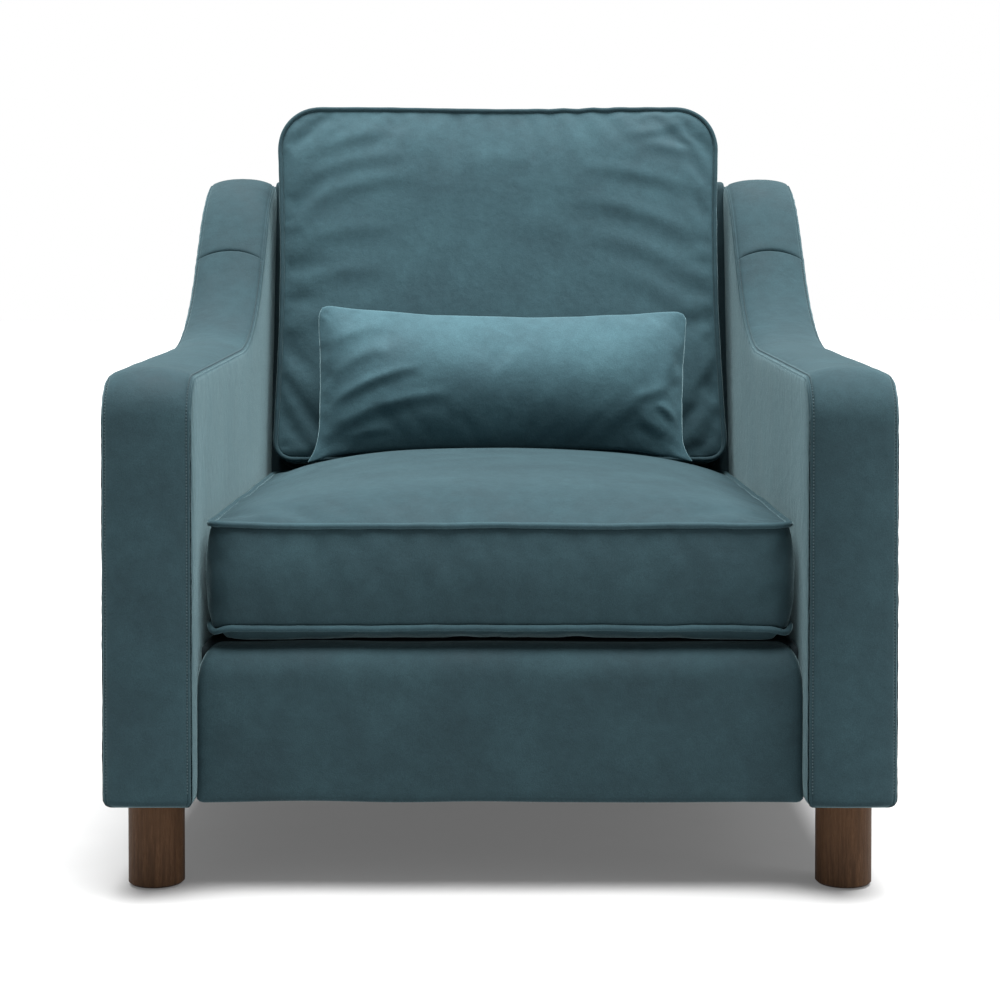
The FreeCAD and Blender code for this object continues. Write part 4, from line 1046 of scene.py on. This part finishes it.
def back_cushion():
    """The loose back cushion, piped round both faces and a little slack."""
    half, foot, head = BACK_HALF - PIPING_PROUD, PIPING_PROUD, BACK_HEIGHT - PIPING_PROUD
    x, y = rounded_grid(half, foot, head, CUSHION_CORNER, BACK_SHOULDER, CUSHION_PITCH)
    gap = edge_gap(x, y)
    rise = y / head
    x = x * (1 - BACK_WAIST * np.sin(math.pi * rise)) - BACK_LEAN * rise
    sag = 3 * MM * rise ** 6 * np.exp(-((x - 20 * MM) / (140 * MM)) ** 2)
    y = y - sag
    gathers = 1.0 * MM * rise ** 10 * np.sin(2 * math.pi * x / (42 * MM))
    y = y + gathers * np.exp(-((x - 130 * MM) / (70 * MM)) ** 2)
    piece, edge, held = boxed_cover("back_cushion_upholstery", x, y, gap, BACK_LOOPS, BACK_DOMES,
                                    BACK_REACHES, BACK_SWELL, 121)
    seams = [coordinates(piece.data)[edge + shift] for shift in (0, x.size)]
    inflate(piece, held, pressure=1.6, frames=18, slack=0.02, cap=9 * MM)
    points = coordinates(piece.data)
    points[:, 1] = np.maximum(points[:, 1], PIPING_PROUD - 0.1 * MM)
    points[:, 2] = np.clip(points[:, 2], 0.5 * MM, BACK_FACE - 2 * MM)
    reshape(piece, points)
    subdivided(piece)
    points = coordinates(piece.data)
    inward = np.minimum(half - np.abs(points[:, 0]), head - points[:, 1])
    facing = smooth_step(points[:, 2], 70 * MM, 84 * MM) * smooth_step(inward, 3 * MM, 26 * MM)
    points = creased(points, facing * BACK_FOLD_DEPTH, BACK_FOLDS)
    points[:, 2] += puckered(points, inward, 126) * (points[:, 2] > 70 * MM)
    points[:, 2] = np.minimum(points[:, 2], BACK_FACE)
    reshape(piece, points)
    place = leaning(BACK_ORIGIN)
    placed(piece, place)
    layers = ["back_cushion_cover", "back_cushion_filling"]
    finished(mended(piece), "back_cushion", BACK_PAINTED_LIGHT_VELVET, layers)
    cords = placed(piping_piece("back_cushion_cords", seams, 131), place)
    finished(cords, "back_cushion", PIPING_PAINTED_LIGHT_VELVET, ["back_cushion_piping"])


PILLOW_ORIGIN = Vector((0, 178.3 * MM, 459 * MM))
PILLOW_HALF = 270 * MM
PILLOW_HEIGHT = 206 * MM
PILLOW_DEPTH = 110 * MM
PILLOW_SLACK = 13 * MM        # each panel is drawn this much flatter and the cloth's pressure fills it
PILLOW_REACH = (40 * MM, 60 * MM)
PILLOW_WAIST = 0.952          # share of the full width just above the lower corners
PILLOW_EARS = 24 * MM         # droop of the lower corners
PILLOW_SAG = 14 * MM          # dip of the upper edge at its middle
PILLOW_FOLDS = (  # as for the back cushion
    ((-240, 60), (-112, 112), 8, 7, 3.2), ((-236, 28), (-70, 74), 10, 8, 2.8),
    ((-246, 146), (-150, 178), 6, 9, 2.2), ((-238, 100), (-160, 140), 6, 8, 1.6),
    ((-228, 10), (-150, 26), 4, 5, 2.0), ((222, 62), (262, 22), 3, 5, 5.0),
    ((196, 44), (256, 6), -4, 7, 3.0), ((246, 170), (226, 70), 8, 11, 2.2),
    ((180, 60), (236, 84), 3, 7, 1.6), ((-40, 10), (30, 4), 2, 8, 1.4), ((60, 190), (150, 196), 2, 6, 1.2))


def puckered(points, gap, seed, depth=0.55 * MM, size=17 * MM):
    """Small gathers beside a seam, dying out a little way from it."""
    return depth * ripple(points, size, seed) * np.exp(-gap / (13 * MM)) * smooth_step(gap, 0.5 * MM, 4 * MM)


def creased(points, facing, folds):
    """Press folds into a face: each runs between two points, bowed, and fades at its ends."""
    lift = np.zeros(len(points))
    for start, end, bow, width, depth in folds:
        start, along = np.array(start) * MM, (np.array(end) - np.array(start)) * MM
        length = np.linalg.norm(along)
        offset = points[:, :2] - start
        share = offset @ along / length ** 2
        aside = offset @ np.array([-along[1], along[0]]) / length - bow * MM * 4 * share * (1 - share)
        fade = np.sin(math.pi * np.clip(share, 0, 1)) ** 0.7
        ridge = np.exp(-(aside / (width * MM)) ** 2)
        valley = np.exp(-((aside + 2.0 * width * MM) / (1.3 * width * MM)) ** 2)
        lift += depth * MM * fade * (ridge - 0.6 * valley)
    points[:, 2] += lift * facing
    return points


def lumbar_pillow():
    """A knife-edge pillow: two panels sewn at their edge, with drooping ears and folds at its corners."""
    x, y = rounded_grid(PILLOW_HALF, 0, PILLOW_HEIGHT, 7 * MM, 20 * MM, 8 * MM)
    gap = edge_gap(x, y)
    rise = y / PILLOW_HEIGHT
    swell = (PILLOW_DEPTH / 2 - PILLOW_SLACK) * dome(gap, PILLOW_REACH) * (0.80 + 0.20 * rise)
    share = x / PILLOW_HALF
    waist = PILLOW_WAIST + 0.032 * rise ** 2 + (1.03 - PILLOW_WAIST) * np.exp(-rise / 0.07)
    level = y - (PILLOW_SAG * rise + 2 * MM * (1 - rise)) * (1 - share ** 2)
    level = level - PILLOW_EARS * (1 - rise) ** 2 * np.abs(share) ** 4 - 4 * MM * rise * share
    wide = x * waist + 4 * MM * rise
    number = np.arange(x.size).reshape(x.shape)
    rim = np.unique(border(number))
    level.ravel()[rim] += 1.2 * MM * ripple(np.stack([x, y, y], -1).reshape(-1, 3)[rim], 70 * MM, 141)
    wide.ravel()[rim] += 1.0 * MM * ripple(np.stack([y, x, y], -1).reshape(-1, 3)[rim], 60 * MM, 142)
    other = number.ravel() + x.size
    other[rim] = rim
    points = np.concatenate([np.stack([wide, level, way * swell], -1).reshape(-1, 3) for way in (1, -1)])
    faces = np.array(sheet_faces(number) + sheet_faces(other.reshape(x.shape), flip=True))
    used = np.unique(faces)
    renumber = np.zeros(len(points), int)
    renumber[used] = np.arange(len(used))
    piece = mended(add_piece("lumbar_pillow_upholstery", points[used], renumber[faces].tolist()))
    inflate(piece, renumber[rim], pressure=1.2, frames=14, slack=0.006, cap=4 * MM)
    subdivided(piece)
    points = coordinates(piece.data)
    points = creased(points, smooth_step(points[:, 2], 2 * MM, 24 * MM), PILLOW_FOLDS)
    limit = PILLOW_DEPTH / 2 - 1 * MM
    points[:, 2] = np.clip(points[:, 2], -limit, limit + 3 * MM)
    reshape(piece, points)
    placed(piece, leaning(PILLOW_ORIGIN))
    layers = ["lumbar_pillow_cover", "lumbar_pillow_filling"]
    finished(mended(piece), "lumbar_pillow", PILLOW_PAINTED_LIGHT_VELVET, layers)


# ---------------------------------------------------------------- zips

ZIP_HALF = 262 * MM
ZIP_OVERRUN = 10 * MM
ZIP_WIDTH = 14 * MM
TOOTH_PITCH = 2.2 * MM
TAPE_SHEET = 0.9 * MM
SLIDER_PLAN = ((-5.0, 2.6), (-2.0, 3.0), (2.0, 3.9), (5.0, 4.0))   # place and half width, in millimetres
SLIDER_PLATES = ((2.0, 2.6, 1.0), (3.4, 4.4, 0.94))   # low and high level, and share of the plan's width
TAB_LOW, TAB_HIGH = 4.6, 5.7
TAB_STEPS = 28


def block(centre, size, taper=1.0):
    """A small block whose outer face is narrowed by taper: points and faces."""
    points = []
    for level, share in ((-0.5, 1.0), (0.5, taper)):
        for across, along in ((-0.5, -0.5), (0.5, -0.5), (0.5, 0.5), (-0.5, 0.5)):
            points.append((centre[0] + across * size[0] * share, centre[1] + along * size[1] * share,
                           centre[2] + level * size[2]))
    faces = [(0, 3, 2, 1), (4, 5, 6, 7), (0, 1, 5, 4), (1, 2, 6, 5), (2, 3, 7, 6), (3, 0, 4, 7)]
    return points, faces


def zip_tapes():
    """Two woven tapes, waved along their outer edges, in the zip's own frame: X along, Z outwards."""
    parts = []
    along = span(-ZIP_HALF - ZIP_OVERRUN, ZIP_HALF + ZIP_OVERRUN, 6 * MM)
    for way in (-1, 1):
        rings = []
        for place in along:
            wave = 0.25 * MM * math.sin(place / (11 * MM) + way)
            near, far = way * 0.6 * MM, way * (ZIP_WIDTH / 2 - 0.3 * MM) + wave
            outline = ((near, 0), (far, 0), (far, TAPE_SHEET), (near, TAPE_SHEET))
            rings.append([(place, across, height) for across, height in outline])
        parts.append(tube(np.array(rings)))
    return joined(parts)


def zip_chain():
    """The interlocked teeth of the closed zip, with a stop at each end."""
    parts = []
    level = TAPE_SHEET + 0.45 * MM
    for number, place in enumerate(np.arange(-ZIP_HALF, ZIP_HALF, TOOTH_PITCH / 2)):
        way = 1 if number % 2 else -1
        parts.append(block((place, way * 0.7 * MM, level), (0.85 * MM, 3.2 * MM, 0.9 * MM), 0.75))
    for place in (-ZIP_HALF - 4 * MM, ZIP_HALF + 4 * MM):
        parts.append(block((place, 0, level), (3 * MM, 5 * MM, 1.1 * MM), 0.8))
    return joined(parts)


def zip_slider():
    """The slider's body, narrowed behind, its bridge, and a pull tab with a hole for the bridge."""
    parts = []
    for low, high, share in SLIDER_PLATES:
        outline = ((-1, low), (1, low), (1, high), (-1, high))
        rings = [[(x * MM, way * y * share * MM, z * MM) for way, z in outline] for x, y in SLIDER_PLAN]
        parts.append(tube(np.array(rings)))
    parts.append(block((1.5 * MM, 0, 3.0 * MM), (4 * MM, 1.6 * MM, 1.2 * MM)))
    outer, hole = [], []
    for step in range(TAB_STEPS):
        turn = 2 * math.pi * step / TAB_STEPS
        x, y = math.cos(turn), math.sin(turn)
        outer.append((-14 + 12 * np.sign(x) * abs(x) ** 0.45, 3.0 * np.sign(y) * abs(y) ** 0.45))
        hole.append((-4.2 + 1.3 * x, 1.5 * y))
    outer, hole = np.array(outer), np.array(hole)
    rings = []
    for line, height in ((outer, TAB_LOW), (outer, TAB_HIGH), (hole, TAB_HIGH), (hole, TAB_LOW)):
        rings.append([(x * MM, y * MM, height * MM) for x, y in line])
    parts.append(tube(np.array(rings), closed=True))
    return joined(parts)


def zips():
    """A zip along each boxed cushion's rear: tapes and teeth ride the cushion, the slider its own body."""
    seat_low, seat_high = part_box("seat_cushion_zip")
    seat_place = Matrix.Translation((0, seat_low.y, (seat_low.z + seat_high.z) / 2)) @ Matrix.Rotation(
        math.radians(-90), 4, "X")
    back_place = leaning(BACK_ORIGIN) @ Matrix.Translation((0, PIPING_RADIUS, 20 * MM)) @ Matrix.Rotation(
        math.radians(90), 4, "X")
    for name, place in (("seat", seat_place), ("back", back_place)):
        body = f"{name}_cushion"
        tapes = placed(add_piece(f"{body}_zip_tapes", *zip_tapes()), place)
        chain = placed(add_piece(f"{body}_zip_teeth", *zip_chain()), place)
        pull = add_piece(f"{name}_zip_slider", *zip_slider())
        placed(pull, place @ Matrix.Translation((ZIP_HALF, 0, 0)))
        for piece in (tapes, chain, pull):
            mended(piece)
            piece.data.shade_flat()
        finished(tapes, body, TAPE, [f"{body}_zip"])
        finished(chain, body, ZIP_METAL, [f"{body}_zip"])
        finished(pull, f"{name}_zip", ZIP_METAL, [f"{name}_zip_pull"])


# ---------------------------------------------------------------- camera, floor and light

CAMERA_DISTANCE = 2.33
CAMERA_HEIGHT = 0.67
LENS = 76.0
PITCH = 1.4
SHIFT = -0.149

FLOOR_REACH = 60
WORLD_STRENGTH = 0.35
SUN_STRENGTH = 12.0
SUN_SPREAD = 50
SUN_FROM = (0.16, -0.18, 2.6)
FLOOR_GLOW = 0.125             # the floor glows by this much: a painted light that lifts the shadow under the chair
SIDE_FROM = (3.1, -1.2, 1.5)
SIDE_POWER = 25
SIDE_SIZE = 1.6
AIM = (0, 0, 0.4)              # both lights point at the seat


def studio():
    scene = bpy.context.scene
    scene.view_settings.view_transform = "Standard"
    camera = bpy.data.objects.new("camera", bpy.data.cameras.new("camera"))
    scene.collection.objects.link(camera)
    camera.location = (0, ARM_FRONT - CAMERA_DISTANCE, CAMERA_HEIGHT)
    camera.rotation_euler = (math.radians(90 - PITCH), 0, 0)
    camera.data.lens = LENS
    camera.data.sensor_width = 36
    camera.data.shift_y = SHIFT
    scene.camera = camera

    corners = [(x * FLOOR_REACH, y * FLOOR_REACH, 0) for x, y in ((-1, -1), (1, -1), (1, 1), (-1, 1))]
    floor = add_piece("floor", corners, [(0, 1, 2, 3)])
    material, tree, shader, place = new_material("pale_floor")
    tone = ramp(tree, noise(tree, place, 3.0), (0.4, grey(0.33)), (0.6, grey(0.35)))
    # The floor's glow is painted light, lifting the shade under the chair
    feed(tree, shader, {"Base Color": tone, "Roughness": 0.9, "Emission Color": (1, 1, 1, 1),
                        "Emission Strength": FLOOR_GLOW})
    floor.data.materials.append(material)

    world = bpy.data.worlds.new("studio")
    scene.world = world
    world.use_nodes = True
    sky = world.node_tree
    seen = node(sky, "ShaderNodeLightPath", {}).outputs["Is Camera Ray"]
    level = node(sky, "ShaderNodeMapRange", {"Value": seen, "To Min": WORLD_STRENGTH, "To Max": 1.0})
    feed(sky, sky.nodes["Background"], {"Color": (1, 1, 1, 1), "Strength": level.outputs["Result"]})

    overhead = bpy.data.lights.new("overhead_sun", "SUN")
    overhead.energy = SUN_STRENGTH
    overhead.angle = math.radians(SUN_SPREAD)
    hang_light(overhead, SUN_FROM)
    side = bpy.data.lights.new("side_light", "AREA")
    side.shape = "SQUARE"
    side.size = SIDE_SIZE
    side.energy = SIDE_POWER
    hang_light(side, SIDE_FROM)


def hang_light(light, spot):
    """Put a light at a spot and aim it at the seat."""
    lamp = bpy.data.objects.new(light.name, light)
    lamp.location = spot
    lamp.rotation_euler = (Vector(AIM) - Vector(spot)).to_track_quat("-Z", "Y").to_euler()
    bpy.context.scene.collection.objects.link(lamp)


studio()
dress_frame()
arms()
apron()
deck()
inside_back_lining()
outside_back_panel()
seat_cushion()
back_cushion()
lumbar_pillow()
zips()
